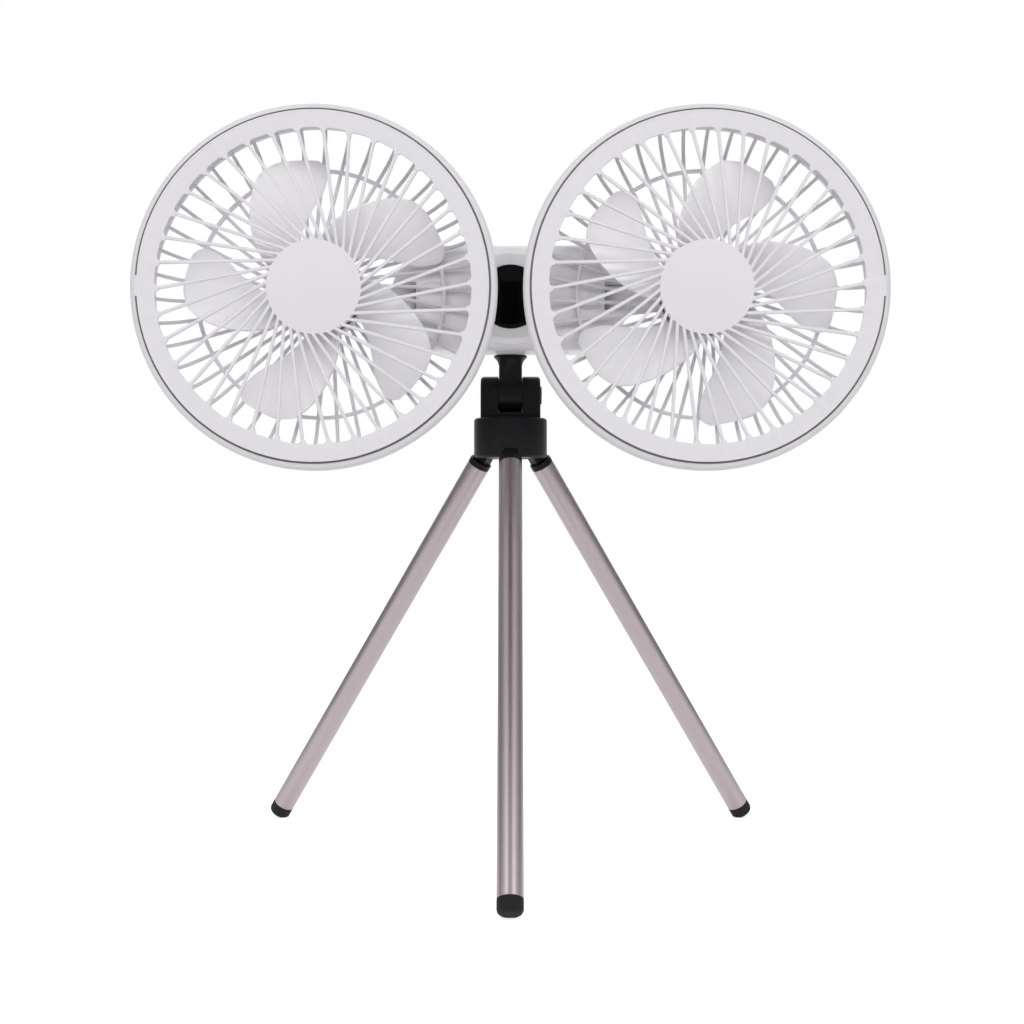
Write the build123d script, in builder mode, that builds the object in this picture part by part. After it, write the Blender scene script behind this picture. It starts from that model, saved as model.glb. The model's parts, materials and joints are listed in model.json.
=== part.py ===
"""Dual-head desk fan on a small three-legged stand, in millimetres.

X runs to the viewer's right, Y away from the viewer and Z up. The origin lies on the floor, in the middle
of the object's footprint. The lengths build up from the floor: legs, hub, yoke, neck, body and then the heads.
"""

from build123d import *
from math import atan2, cos, degrees, radians, sin, sqrt
import os

# Fits and gaps between pieces
running_gap = 0.06
seat_gap = 0.02
small_gap = 0.1
clear_gap = 0.3
slide_gap = 0.2

# Legs
leg_length = 239.9
leg_splay = 34.2
leg_azimuths = {"front": -90.0, "right": 30.0, "left": 150.0}
leg_pin_reach = 10.9
leg_pin_radius = 1.5
leg_pin_length = 13.0
tube_radius = 5.65
tube_wall = 0.9
tongue_thickness = 6.6
tongue_half_height = 3.8
knuckle_radius = 4.2
collar_start = 10.8
collar_length = 3.0
spigot_length = 14.0
foot_length = 6.8
foot_plug_length = 9.0
foot_rounding = 2.5
foot_flat = 0.4

# Hub under the yoke
hub_radius = 18.15
hub_below_pin = 8.0
hub_height = 19.9
hub_top_rounding = 1.6
hub_bottom_chamfer = 1.0
pan_bore_radius = 5.5
pan_bore_depth = 5.0
pan_screw_radius = 2.0
pan_head_radius = 3.6
pan_head_height = 3.0
pan_washer_thickness = 1.0
pan_web = 6.0

# Yoke and its hinge bolt
yoke_width = 29.6
yoke_slot = 12.2
yoke_radius = 9.4
yoke_rise = 11.4
yoke_slot_floor = 2.5
yoke_rounding = 1.8
bolt_radius = 2.5
bolt_head_radius = 4.5
bolt_head_height = 3.0
bolt_head_proud = 0.7
nut_height = 3.6
nut_across_flats = 8.0
washer_thickness = 0.3
washer_radius = 8.8

# Neck between the hinge and the body
neck_width = 11.4
neck_depth = 13.0
neck_eye_radius = 8.6
neck_length = 19.7
neck_flare_radius = 8.2
neck_flare_height = 5.0
neck_plate = 0.9
neck_corner = 3.0
stud_radius = 3.175
stud_length = 14.0
stud_in_body = 6.5
insert_radius = 4.75
insert_length = 8.0

# Body
body_half_width = 58.8
body_half_height = 26.15
body_half_depth = 18.0
body_rounding = 8.0
body_wall = 2.2
boss_radius = 7.25
boss_height = 1.4
insert_boss_radius = 7.0
dish_radius = 21.4
dish_depth = 2.8
dish_floor_radius = 16.3
dish_plate = 2.1
dish_plate_radius = 23.5
plug_reach = 38.1
plug_radius = 6.7
plug_thickness = 1.2
case_screw_x = 38.5
case_screw_z = 15.5
screw_radius = 1.5
screw_head_radius = 2.8
screw_head_height = 1.8
screw_length = 12.0
screw_recess = 8.0
plug_screw_length = 18.0
post_radius = 3.4

# Round button in the dish
button_radius = 15.4
button_proud = 2.1
button_lip = 1.1
button_travel = 0.6
button_flange_radius = 17.0
button_flange_thickness = 0.8

# Inside of the body
board_front = 8.6
board_thickness = 1.6
board_length = 62.0
board_height = 34.0
board_post_x = 27.0
board_post_z = 13.0
board_post_radius = 2.4
switch_size = 6.0
cell_radius = 9.2
cell_length = 65.0
cell_y = 5.9
cell_rise = 2.9
cell_pitch = 19.0
tray_wall = 1.5
tray_height = 37.0
tray_floor = 1.8
tray_depth = 14.0
rib_x = 16.0
rib_thickness = 1.6
socket_x = 24.0
socket_width = 9.0
socket_thickness = 3.2
socket_length = 9.6
socket_setback = 0.4
light_x = -24.0
light_pitch = 4.0
light_count = 3
light_y = -7.8
light_radius = 1.1
light_length = 4.2

# Swivel of each head in the body's forked end
swivel_reach = 52.6
swivel_pin_radius = 2.0
swivel_pin_half_length = 12.5
eye_radius = 6.4
eye_height = 13.0
fork_gap = 0.35
fork_wall = 2.0
fork_pin_wall = 1.6
arm_height = 12.0
arm_thickness = 8.0
pad_radius = 14.0
pad_thickness = 4.0
arm_screw_circle = 10.0
arm_screw_count = 2
arm_screw_radius = 1.2
arm_screw_head_radius = 2.2
arm_screw_head_height = 1.4

# Heads, with depths measured backwards from the head's front plane
head_reach = 91.9
front_ahead = 53.0
head_depth = 32.5
shell_radius = 86.0
shell_mouth_radius = 82.9
shell_bore_radius = 80.8
shell_front_depth = 1.0
shell_wide_depth = 5.5
shell_wide_end = 9.0
shell_back_depth = 16.5
shell_back_radius = 83.0
seat_depth = 2.8
bezel_radius = 82.0
bezel_inner_radius = 73.8
bezel_thickness = 2.4
bezel_rounding = 0.5
bezel_dip = 0.7
skirt_wall = 1.5
skirt_end = 8.0
tab_width = 9.5
tab_front = 0.9
grille_rim_depth = 0.9
grille_thickness = 1.8
disc_radius = 22.2
disc_depth = 3.0
front_bar_count = 38
front_bar_width = 1.5
front_bar_tangent = 12.9
front_bar_phase = 1.0
rear_bar_count = 42
rear_bar_width = 1.4
rear_bar_tangent = 5.0
rear_bar_phase = 2.7
rear_ring_radius = 59.75
rear_ring_width = 1.8
bowl_thickness = 2.2
bowl_turn_radius = 17.0
pod_radius = 22.2
pod_wall = 1.4
pod_wall_front = 23.0

# Fan and motor of each head
hub_cup_radius = 20.4
hub_cup_front = 7.6
hub_cup_back = 21.6
hub_cup_wall = 1.6
hub_cup_rounding = 1.5
blade_count = 5
blade_tip_radius = 63.8
blade_thickness = 1.8
blade_centre_depth = 16.0
blade_root_pitch = 34.0
blade_tip_pitch = 20.0
blade_middle = 14.0
blade_root_span = (13.0, 56.0)
blade_tip_span = (-13.0, 4.0)
blade_lead_edge = ((0.235, 0.5), (0.437, -8.5), (0.629, -15.0), (0.844, -17.0))
blade_trail_edge = ((0.952, 12.5), (0.769, 21.5), (0.586, 29.0), (0.416, 36.5))
blade_phase = {"right": -1.5, "left": -4.5}
rotor_cup_wall = 0.9
magnet_thickness = 1.8
air_gap = 0.6
stator_length = 8.0
stator_slots = 9
stator_tooth_width = 3.2
stator_shoe = 1.6
stator_hub = 2.4
shaft_radius = 1.5
shaft_length = 19.5
shaft_boss_radius = 3.4
bearing_radius = 3.0
bearing_width = 2.4
bearing_tube_radius = 4.2
bearing_tube_front = 13.0
tube_boss_radius = 6.0
tube_boss_height = 3.4

# The legs' slant, and where the middle of the footprint lies
splay_sin = sin(radians(leg_splay))
splay_cos = cos(radians(leg_splay))
foot_core = tube_radius - foot_rounding
foot_end_z = foot_core * splay_sin + foot_rounding * (1 - splay_cos) - foot_flat
leg_pin_z = foot_end_z + leg_length * splay_cos
foot_ring_reach = leg_pin_reach + (leg_length - foot_rounding) * splay_sin


def footprint_reach(turn):
    """How far a foot reaches along a direction that lies turn degrees from its leg, seen from above."""
    along = splay_sin * cos(radians(turn))
    return foot_ring_reach * cos(radians(turn)) + foot_core * sqrt(1 - along * along) + foot_rounding


axis_y = (footprint_reach(0) - footprint_reach(60)) / 2

# Heights, from the floor up
hub_bottom_z = leg_pin_z - hub_below_pin
hub_top_z = hub_bottom_z + hub_height
tilt_z = hub_top_z + yoke_rise
neck_top_z = tilt_z + neck_length
body_bottom_z = neck_top_z + boss_height
body_z = body_bottom_z + body_half_height
slot_half_height = eye_height / 2 + fork_gap
fork_inner_x = swivel_reach - eye_radius - fork_gap

# Depths inside the body, as y from the stand's axis
dish_floor_y = -body_half_depth + dish_depth
plate_back_y = dish_floor_y + dish_plate
board_y = -board_front
board_back_y = board_y + board_thickness
button_front_y = dish_floor_y - button_proud
flange_front_y = plate_back_y + small_gap
flange_back_y = flange_front_y + button_flange_thickness
switch_front_y = flange_back_y + button_travel + small_gap
tray_back_y = cell_y - cell_radius - slide_gap
tray_front_y = tray_back_y - tray_floor
cell_middle_z = body_z + cell_rise


def seen_from_front(x, y, z):
    """Sketch plane with x to the right, y up, facing the viewer."""
    return Plane(origin=(x, axis_y + y, z), x_dir=(1, 0, 0), z_dir=(0, -1, 0))


def seen_from_above(x, y, z):
    """Sketch plane with x to the right, y away from the viewer, facing up."""
    return Plane(origin=(x, axis_y + y, z), x_dir=(1, 0, 0), z_dir=(0, 0, 1))


def seen_from_right(x, y, z):
    """Sketch plane with x away from the viewer, y up, facing right."""
    return Plane(origin=(x, axis_y + y, z), x_dir=(0, 1, 0), z_dir=(1, 0, 0))


def leg_plane(azimuth):
    """Upright sketch plane through a leg: x outwards from the stand's axis, y up."""
    out = Vector(cos(radians(azimuth)), sin(radians(azimuth)), 0)
    return Plane(origin=(0, axis_y, 0), x_dir=out, z_dir=(out.Y, -out.X, 0))


def leg_direction(azimuth):
    """Unit vector down a leg, from its hinge pin to its foot."""
    turn = radians(azimuth)
    return Vector(splay_sin * cos(turn), splay_sin * sin(turn), -splay_cos)


def leg_pin_point(azimuth):
    """Where a leg's axis crosses its hinge pin."""
    turn = radians(azimuth)
    return Vector(leg_pin_reach * cos(turn), axis_y + leg_pin_reach * sin(turn), leg_pin_z)


def across_leg(azimuth, distance):
    """Sketch plane square to a leg, at a distance below its hinge pin, facing down the leg."""
    down = leg_direction(azimuth)
    side = Vector(-sin(radians(azimuth)), cos(radians(azimuth)), 0)
    return Plane(origin=leg_pin_point(azimuth) + down * distance, x_dir=side, z_dir=down)


def head_section(side):
    """Half-section plane of a head, on its side by the body: x is the radius, y the depth behind its front."""
    origin = (side * head_reach, axis_y - front_ahead, body_z)
    return Plane(origin=origin, x_dir=(-side, 0, 0), z_dir=(0, 0, -side))


def head_axis(side):
    """The line that a head's fan turns about, pointing away from the viewer."""
    return Axis((side * head_reach, axis_y - front_ahead, body_z), (0, 1, 0))


def head_face(side, depth):
    """Plane across a head at a depth: x outwards from the body. One head is the other turned half round."""
    origin = (side * head_reach, axis_y - front_ahead + depth, body_z)
    return Plane(origin=origin, x_dir=(side, 0, 0), z_dir=(0, -1, 0))


def polar(radius, angle):
    """A sketch point from its radius and its angle in degrees."""
    return (radius * cos(radians(angle)), radius * sin(radians(angle)))


def save(piece, name):
    """Label a finished piece and write it as its own file."""
    piece.part.label = name
    export_step(piece.part, f"parts/{name}.step")


def make_hub():
    slot_width = tongue_thickness + 2 * slide_gap
    swing_radius = knuckle_radius + clear_gap
    roof = tongue_half_height + small_gap
    web_z = hub_top_z - pan_bore_depth - pan_web
    reach = 2 * hub_radius
    with BuildPart() as tripod_hub:
        with BuildSketch(seen_from_above(0, 0, hub_bottom_z)):
            Circle(hub_radius)
        extrude(amount=hub_height)
        fillet(tripod_hub.edges().group_by(Axis.Z)[-1], hub_top_rounding)
        chamfer(tripod_hub.edges().group_by(Axis.Z)[0], hub_bottom_chamfer)
        with BuildSketch(seen_from_above(0, 0, hub_top_z)):
            Circle(pan_bore_radius + running_gap)
        extrude(amount=-pan_bore_depth, mode=Mode.SUBTRACT)
        with BuildSketch(seen_from_above(0, 0, hub_bottom_z)):
            Circle(pan_screw_radius + running_gap)
        extrude(amount=hub_height, mode=Mode.SUBTRACT)
        with BuildSketch(seen_from_above(0, 0, hub_bottom_z)):
            Circle(pan_head_radius + clear_gap)
        extrude(amount=web_z - hub_bottom_z, mode=Mode.SUBTRACT)
        for azimuth in leg_azimuths.values():
            with BuildSketch(leg_plane(azimuth)):
                with Locations((leg_pin_reach, leg_pin_z)):
                    Circle(swing_radius)
                    with Locations(Rotation(0, 0, leg_splay - 90)):
                        Rectangle(reach, 2 * roof, align=(Align.MIN, Align.CENTER))
                    Rectangle(2 * swing_radius, reach, align=(Align.CENTER, Align.MAX))
                with BuildLine():
                    foot = (leg_pin_reach + reach * splay_sin, leg_pin_z - reach * splay_cos)
                    Polyline((leg_pin_reach, leg_pin_z), foot, (leg_pin_reach, leg_pin_z - reach), close=True)
                make_face()
            extrude(amount=slot_width / 2, both=True, mode=Mode.SUBTRACT)
            with BuildSketch(leg_plane(azimuth)):
                with Locations((leg_pin_reach, leg_pin_z)):
                    Circle(leg_pin_radius + seat_gap)
            extrude(amount=leg_pin_length / 2 + seat_gap, both=True, mode=Mode.SUBTRACT)
    save(tripod_hub, "tripod_hub")


def make_leg_axles():
    with BuildPart() as leg_axles:
        for azimuth in leg_azimuths.values():
            with BuildSketch(leg_plane(azimuth)):
                with Locations((leg_pin_reach, leg_pin_z)):
                    Circle(leg_pin_radius)
            extrude(amount=leg_pin_length / 2, both=True)
    save(leg_axles, "leg_axles")


def make_leg(name, azimuth):
    tube_start = collar_start + collar_length
    tube_end = leg_length - foot_length
    bore = tube_radius - tube_wall
    with BuildPart() as leg_knuckle:
        with BuildSketch(leg_plane(azimuth)):
            with Locations((leg_pin_reach, leg_pin_z)):
                Circle(knuckle_radius)
                with Locations(Rotation(0, 0, leg_splay - 90)):
                    Rectangle(tube_start, 2 * tongue_half_height, align=(Align.MIN, Align.CENTER))
        extrude(amount=tongue_thickness / 2, both=True)
        with BuildSketch(across_leg(azimuth, collar_start)):
            Circle(tube_radius)
        extrude(amount=collar_length)
        with BuildSketch(across_leg(azimuth, tube_start)):
            Circle(bore - seat_gap)
        extrude(amount=spigot_length)
        with BuildSketch(leg_plane(azimuth)):
            with Locations((leg_pin_reach, leg_pin_z)):
                Circle(leg_pin_radius + running_gap)
        extrude(amount=tongue_thickness, both=True, mode=Mode.SUBTRACT)
    save(leg_knuckle, f"leg_knuckle_{name}")

    with BuildPart() as leg_tube:
        with BuildSketch(across_leg(azimuth, tube_start)):
            Circle(tube_radius)
            Circle(bore, mode=Mode.SUBTRACT)
        extrude(amount=tube_end - tube_start)
    save(leg_tube, f"leg_tube_{name}")

    with BuildPart() as leg_foot:
        with BuildSketch(across_leg(azimuth, tube_end)):
            Circle(tube_radius)
        extrude(amount=foot_length)
        sole = leg_foot.edges().sort_by(Axis.Z)[0]
        fillet(sole, foot_rounding)
        with BuildSketch(across_leg(azimuth, tube_end)):
            Circle(bore - seat_gap)
        extrude(amount=-foot_plug_length)
        with BuildSketch(seen_from_above(0, 0, 0)):
            Rectangle(4 * leg_length, 4 * leg_length)
        extrude(amount=-foot_length, mode=Mode.SUBTRACT)
    save(leg_foot, f"leg_foot_{name}")


def make_yoke():
    base_z = hub_top_z + seat_gap
    with BuildPart() as tilt_yoke:
        with BuildSketch(seen_from_right(0, 0, tilt_z)):
            Circle(yoke_radius)
            Rectangle(2 * yoke_radius, tilt_z - base_z, align=(Align.CENTER, Align.MAX))
        extrude(amount=yoke_width / 2, both=True)
        outer_edges = tilt_yoke.edges().filter_by_position(Axis.Z, base_z + seat_gap, tilt_z + yoke_radius + 1)
        fillet(outer_edges.filter_by(GeomType.LINE).filter_by(Axis.X, reverse=True), yoke_rounding)
        with BuildSketch(seen_from_front(0, 0, hub_top_z + yoke_slot_floor)):
            Rectangle(yoke_slot, 2 * yoke_rise + yoke_radius, align=(Align.CENTER, Align.MIN))
        extrude(amount=yoke_width, both=True, mode=Mode.SUBTRACT)
        with BuildSketch(seen_from_above(0, 0, base_z)):
            Circle(pan_bore_radius)
        extrude(amount=-(pan_bore_depth - clear_gap))
        with BuildSketch(seen_from_above(0, 0, base_z - pan_bore_depth)):
            Circle(pan_screw_radius + seat_gap)
        extrude(amount=pan_bore_depth + yoke_slot_floor, mode=Mode.SUBTRACT)
        with BuildSketch(seen_from_right(0, 0, tilt_z)):
            Circle(bolt_radius + seat_gap)
        extrude(amount=yoke_width, both=True, mode=Mode.SUBTRACT)
        head_seat = bolt_head_height - bolt_head_proud
        with BuildSketch(seen_from_right(yoke_width / 2 - head_seat, 0, tilt_z)):
            Circle(bolt_head_radius + small_gap)
        extrude(amount=yoke_width, mode=Mode.SUBTRACT)
        with BuildSketch(seen_from_right(-yoke_width / 2 + nut_height, 0, tilt_z)):
            RegularPolygon(nut_across_flats / 2 + small_gap, 6, major_radius=False)
        extrude(amount=-yoke_width, mode=Mode.SUBTRACT)
    save(tilt_yoke, "tilt_yoke")


def make_pan_screw():
    web_z = hub_top_z - pan_bore_depth - pan_web
    head_top_z = web_z - pan_washer_thickness - 2 * seat_gap
    shank = hub_top_z + yoke_slot_floor - slide_gap - head_top_z
    with BuildPart() as pan_screw:
        with BuildSketch(seen_from_above(0, 0, head_top_z)):
            Circle(pan_screw_radius)
        extrude(amount=shank)
        with BuildSketch(seen_from_above(0, 0, head_top_z)):
            Circle(pan_head_radius)
        extrude(amount=-pan_head_height)
        with BuildSketch(seen_from_above(0, 0, head_top_z - pan_head_height)):
            Rectangle(2 * pan_head_radius, pan_screw_radius / 2)
            Rectangle(pan_screw_radius / 2, 2 * pan_head_radius)
        extrude(amount=pan_head_height / 2, mode=Mode.SUBTRACT)
    save(pan_screw, "pan_screw")
    with BuildPart() as pan_washer:
        with BuildSketch(seen_from_above(0, 0, head_top_z + seat_gap)):
            Circle(pan_head_radius)
            Circle(pan_screw_radius + seat_gap, mode=Mode.SUBTRACT)
        extrude(amount=pan_washer_thickness)
    save(pan_washer, "pan_washer")


def make_hinge_bolt():
    head_x = yoke_width / 2 - bolt_head_height + bolt_head_proud
    shank = head_x + yoke_width / 2 - seat_gap
    with BuildPart() as hinge_bolt:
        with BuildSketch(seen_from_right(head_x, 0, tilt_z)):
            Circle(bolt_radius)
        extrude(amount=-shank)
        with BuildSketch(seen_from_right(head_x, 0, tilt_z)):
            Circle(bolt_head_radius)
        extrude(amount=bolt_head_height)
        fillet(hinge_bolt.edges().group_by(Axis.X)[-1], bolt_head_proud * 0.6)
        with BuildSketch(seen_from_right(head_x + bolt_head_height, 0, tilt_z)):
            RegularPolygon(bolt_radius * 0.8, 6, major_radius=False)
        extrude(amount=-bolt_head_height / 2, mode=Mode.SUBTRACT)
    save(hinge_bolt, "hinge_bolt")
    with BuildPart() as hinge_nut:
        with BuildSketch(seen_from_right(-yoke_width / 2 + nut_height - seat_gap, 0, tilt_z)):
            RegularPolygon(nut_across_flats / 2, 6, major_radius=False)
            Circle(bolt_radius + seat_gap, mode=Mode.SUBTRACT)
        extrude(amount=-nut_height + seat_gap)
    save(hinge_nut, "hinge_nut")
    with BuildPart() as friction_washers:
        for side in (1, -1):
            with BuildSketch(seen_from_right(side * (yoke_slot / 2 - seat_gap), 0, tilt_z)):
                Circle(washer_radius)
                Circle(bolt_radius + running_gap, mode=Mode.SUBTRACT)
            extrude(amount=-side * washer_thickness)
    save(friction_washers, "friction_washers")


def make_neck():
    flare_z = neck_top_z - neck_plate - neck_flare_height
    waist = neck_width / 2
    stud_hole = stud_length - stud_in_body + seat_gap
    with BuildPart() as neck:
        with BuildSketch(seen_from_above(0, 0, tilt_z)):
            RectangleRounded(neck_width, neck_depth, neck_corner)
        extrude(amount=neck_length - neck_plate)
        with BuildSketch(seen_from_right(0, 0, tilt_z)):
            Circle(neck_eye_radius)
        extrude(amount=neck_width / 2, both=True)
        with BuildSketch(seen_from_front(0, 0, 0)):
            with BuildLine():
                rim = Line((neck_flare_radius, neck_top_z - neck_plate), (neck_flare_radius, neck_top_z))
                top = Line(rim @ 1, (0, neck_top_z))
                middle = Line(top @ 1, (0, flare_z))
                waist_line = Line(middle @ 1, (waist, flare_z))
                TangentArc(waist_line @ 1, rim @ 0, tangent=(0, 1))
            make_face()
        revolve(axis=Axis((0, axis_y, 0), (0, 0, 1)))
        with BuildSketch(seen_from_right(0, 0, tilt_z)):
            Circle(bolt_radius + running_gap)
        extrude(amount=neck_width, both=True, mode=Mode.SUBTRACT)
        with BuildSketch(seen_from_above(0, 0, neck_top_z)):
            Circle(stud_radius + seat_gap)
        extrude(amount=-stud_hole, mode=Mode.SUBTRACT)
    save(neck, "neck")
    with BuildPart() as mount_stud:
        with BuildSketch(seen_from_above(0, 0, neck_top_z - stud_length + stud_in_body)):
            Circle(stud_radius)
        extrude(amount=stud_length)
        chamfer(mount_stud.edges().group_by(Axis.Z)[-1], stud_radius / 5)
    save(mount_stud, "mount_stud")
    with BuildPart() as thread_insert:
        with BuildSketch(seen_from_above(0, 0, neck_top_z + seat_gap)):
            Circle(insert_radius)
            Circle(stud_radius + seat_gap, mode=Mode.SUBTRACT)
        extrude(amount=insert_length)
    save(thread_insert, "thread_insert")


def fork_space(margin):
    """The slots in both ends of the body that the heads' arms swing in, grown by a margin."""
    reach = 2 * (body_half_width - fork_inner_x)
    with BuildPart() as space:
        for side, align in ((1, Align.MIN), (-1, Align.MAX)):
            with BuildSketch(seen_from_front(side * (fork_inner_x - margin), 0, body_z)):
                Rectangle(reach, 2 * (slot_half_height + margin), align=(align, Align.CENTER))
            extrude(amount=2 * body_half_depth, both=True)
    return space.part


def half_pill(front, wall):
    """Front or rear half of the body's form, or of its hollow when it is drawn in by a wall."""
    direction = 1 if front else -1
    with BuildPart() as half:
        with BuildSketch(seen_from_front(0, 0, body_z)):
            SlotOverall(2 * (body_half_width - wall), 2 * (body_half_height - wall))
        extrude(amount=direction * (body_half_depth - wall))
        fillet(half.edges().group_by(Axis.Y)[0 if front else -1], body_rounding - wall)
    return half.part


def hollow(front):
    """The room inside one shell of the body, kept clear of the slots' walls."""
    with BuildPart() as room:
        add(half_pill(front, body_wall))
        add(fork_space(fork_wall), mode=Mode.SUBTRACT)
    return room.part


def upright_posts(front):
    """Half of each upright boss that the two shells share: the insert's and the swivel pins'."""
    side = Align.MAX if front else Align.MIN
    pin_boss = swivel_pin_radius + fork_pin_wall
    pin_boss_top = swivel_pin_half_length + fork_pin_wall
    with BuildPart() as posts:
        with BuildSketch(seen_from_above(0, 0, neck_top_z)):
            Circle(boss_radius)
            Rectangle(2 * boss_radius, boss_radius, align=(Align.CENTER, side), mode=Mode.INTERSECT)
        extrude(amount=boss_height + body_wall)
        with BuildSketch(seen_from_above(0, 0, neck_top_z)):
            Circle(insert_boss_radius)
            Rectangle(2 * boss_radius, boss_radius, align=(Align.CENTER, side), mode=Mode.INTERSECT)
        extrude(amount=insert_length + body_wall)
        for x in (swivel_reach, -swivel_reach):
            with BuildSketch(seen_from_above(x, 0, body_z)):
                Circle(pin_boss)
                Rectangle(2 * pin_boss, pin_boss, align=(Align.CENTER, side), mode=Mode.INTERSECT)
            extrude(amount=pin_boss_top, both=True)
        add(fork_space(0), mode=Mode.SUBTRACT)
    return posts.part


def upright_bores():
    """The holes for the threaded insert, the stud and the swivel pins, on the plane where the shells meet."""
    with BuildPart() as bores:
        with BuildSketch(seen_from_above(0, 0, neck_top_z)):
            Circle(insert_radius + seat_gap)
        extrude(amount=insert_length + 2 * seat_gap)
        for x in (swivel_reach, -swivel_reach):
            with BuildSketch(seen_from_above(x, 0, body_z)):
                Circle(swivel_pin_radius + seat_gap)
            extrude(amount=swivel_pin_half_length + seat_gap, both=True)
    return bores.part


def case_screw_spots():
    """Where the four case screws stand, as points across the body."""
    return [(x, z) for x in (case_screw_x, -case_screw_x) for z in (case_screw_z, -case_screw_z)]


def make_front_shell():
    face_y = -body_half_depth
    inner_y = face_y + body_wall
    plug_seat_y = face_y + plug_thickness + seat_gap
    with BuildPart() as body_front_shell:
        add(half_pill(True, 0))
        add(hollow(True), mode=Mode.SUBTRACT)
        add(fork_space(0), mode=Mode.SUBTRACT)
        add(upright_posts(True))
        with BuildSketch(seen_from_front(0, plate_back_y, body_z)):
            Circle(dish_plate_radius)
        extrude(amount=plate_back_y - inner_y + body_wall / 2)
        with BuildSketch(seen_from_front(0, 0, body_z)):
            with Locations(*case_screw_spots()):
                Circle(post_radius)
            with Locations((plug_reach, 0), (-plug_reach, 0)):
                Circle(post_radius)
        extrude(amount=body_half_depth - body_wall / 2)
        with BuildSketch(seen_from_front(0, board_y - seat_gap, body_z)):
            with GridLocations(2 * board_post_x, 2 * board_post_z, 2, 2):
                Circle(board_post_radius)
        extrude(amount=board_y - inner_y + body_wall / 2)
        with BuildSketch(seen_from_above(0, 0, body_z)):
            with BuildLine():
                dish_floor = (dish_floor_radius, dish_floor_y)
                Polyline((0, dish_floor_y), dish_floor, (dish_radius, face_y), (0, face_y), close=True)
            make_face()
        revolve(axis=Axis((0, axis_y, body_z), (0, 1, 0)), mode=Mode.SUBTRACT)
        with BuildSketch(seen_from_front(0, 0, body_z)):
            Circle(button_radius + clear_gap)
        extrude(amount=body_half_depth, mode=Mode.SUBTRACT)
        with BuildSketch(seen_from_front(0, 0, body_z)):
            with Locations(*case_screw_spots()):
                Circle(screw_radius + seat_gap)
        extrude(amount=screw_length, mode=Mode.SUBTRACT)
        with BuildSketch(seen_from_front(0, 0, body_z)):
            with Locations((plug_reach, 0), (-plug_reach, 0)):
                Circle(screw_radius + small_gap)
        extrude(amount=body_half_depth, mode=Mode.SUBTRACT)
        with BuildSketch(seen_from_front(0, plug_seat_y + screw_head_height + seat_gap, body_z)):
            with Locations((plug_reach, 0), (-plug_reach, 0)):
                Circle(screw_head_radius + small_gap)
        extrude(amount=body_half_depth, mode=Mode.SUBTRACT)
        with BuildSketch(seen_from_front(0, plug_seat_y, body_z)):
            with Locations((plug_reach, 0), (-plug_reach, 0)):
                Circle(plug_radius + small_gap)
        extrude(amount=body_half_depth, mode=Mode.SUBTRACT)
        add(upright_bores(), mode=Mode.SUBTRACT)
        socket_y = board_back_y + seat_gap + socket_thickness / 2
        with BuildSketch(seen_from_above(socket_x, socket_y, body_bottom_z)):
            RectangleRounded(
                socket_width + 2 * slide_gap, socket_thickness + 2 * slide_gap, socket_thickness / 2
            )
        extrude(amount=2 * body_wall, mode=Mode.SUBTRACT)
        with BuildSketch(seen_from_above(light_x, light_y, body_bottom_z)):
            with GridLocations(light_pitch, 1, light_count, 1):
                Circle(light_radius + seat_gap)
        extrude(amount=2 * body_wall, mode=Mode.SUBTRACT)
    save(body_front_shell, "body_front_shell")


def make_rear_shell():
    inner_y = body_half_depth - body_wall
    rib_top_z = cell_middle_z + cell_pitch / 2 + cell_radius
    with BuildPart() as body_rear_shell:
        add(half_pill(False, 0))
        add(hollow(False), mode=Mode.SUBTRACT)
        add(fork_space(0), mode=Mode.SUBTRACT)
        add(upright_posts(False))
        with BuildSketch(seen_from_front(0, 0, body_z)):
            with Locations(*case_screw_spots()):
                Circle(post_radius)
            with Locations((plug_reach, 0), (-plug_reach, 0)):
                Circle(post_radius)
        extrude(amount=-(body_half_depth - body_wall / 2))
        for x in (rib_x, -rib_x):
            with BuildSketch(seen_from_right(x, 0, 0)):
                with Locations((cell_y, rib_top_z)):
                    rib_depth = inner_y + body_wall / 4 - cell_y
                    rib_height = cell_pitch + 2 * cell_radius
                    Rectangle(rib_depth, rib_height, align=(Align.MIN, Align.MAX))
                with Locations((cell_y, cell_middle_z)):
                    with GridLocations(1, cell_pitch, 1, 2):
                        Circle(cell_radius + seat_gap, mode=Mode.SUBTRACT)
            extrude(amount=rib_thickness / 2, both=True)
        with BuildSketch(seen_from_front(0, 0, body_z)):
            with Locations(*case_screw_spots()):
                Circle(screw_radius + small_gap)
        extrude(amount=-body_half_depth, mode=Mode.SUBTRACT)
        head_y = body_half_depth - screw_recess - screw_head_height
        with BuildSketch(seen_from_front(0, head_y, body_z)):
            with Locations(*case_screw_spots()):
                Circle(screw_head_radius + small_gap)
        extrude(amount=-body_half_depth, mode=Mode.SUBTRACT)
        with BuildSketch(seen_from_front(0, 0, body_z)):
            with Locations((plug_reach, 0), (-plug_reach, 0)):
                Circle(screw_radius + seat_gap)
        extrude(amount=-plug_screw_length / 2, mode=Mode.SUBTRACT)
        add(upright_bores(), mode=Mode.SUBTRACT)
    save(body_rear_shell, "body_rear_shell")


def cross_recess(radius):
    """Outline of a cross-head recess in the sketch that is open."""
    Rectangle(2 * radius, radius / 2.5)
    Rectangle(radius / 2.5, 2 * radius)


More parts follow.
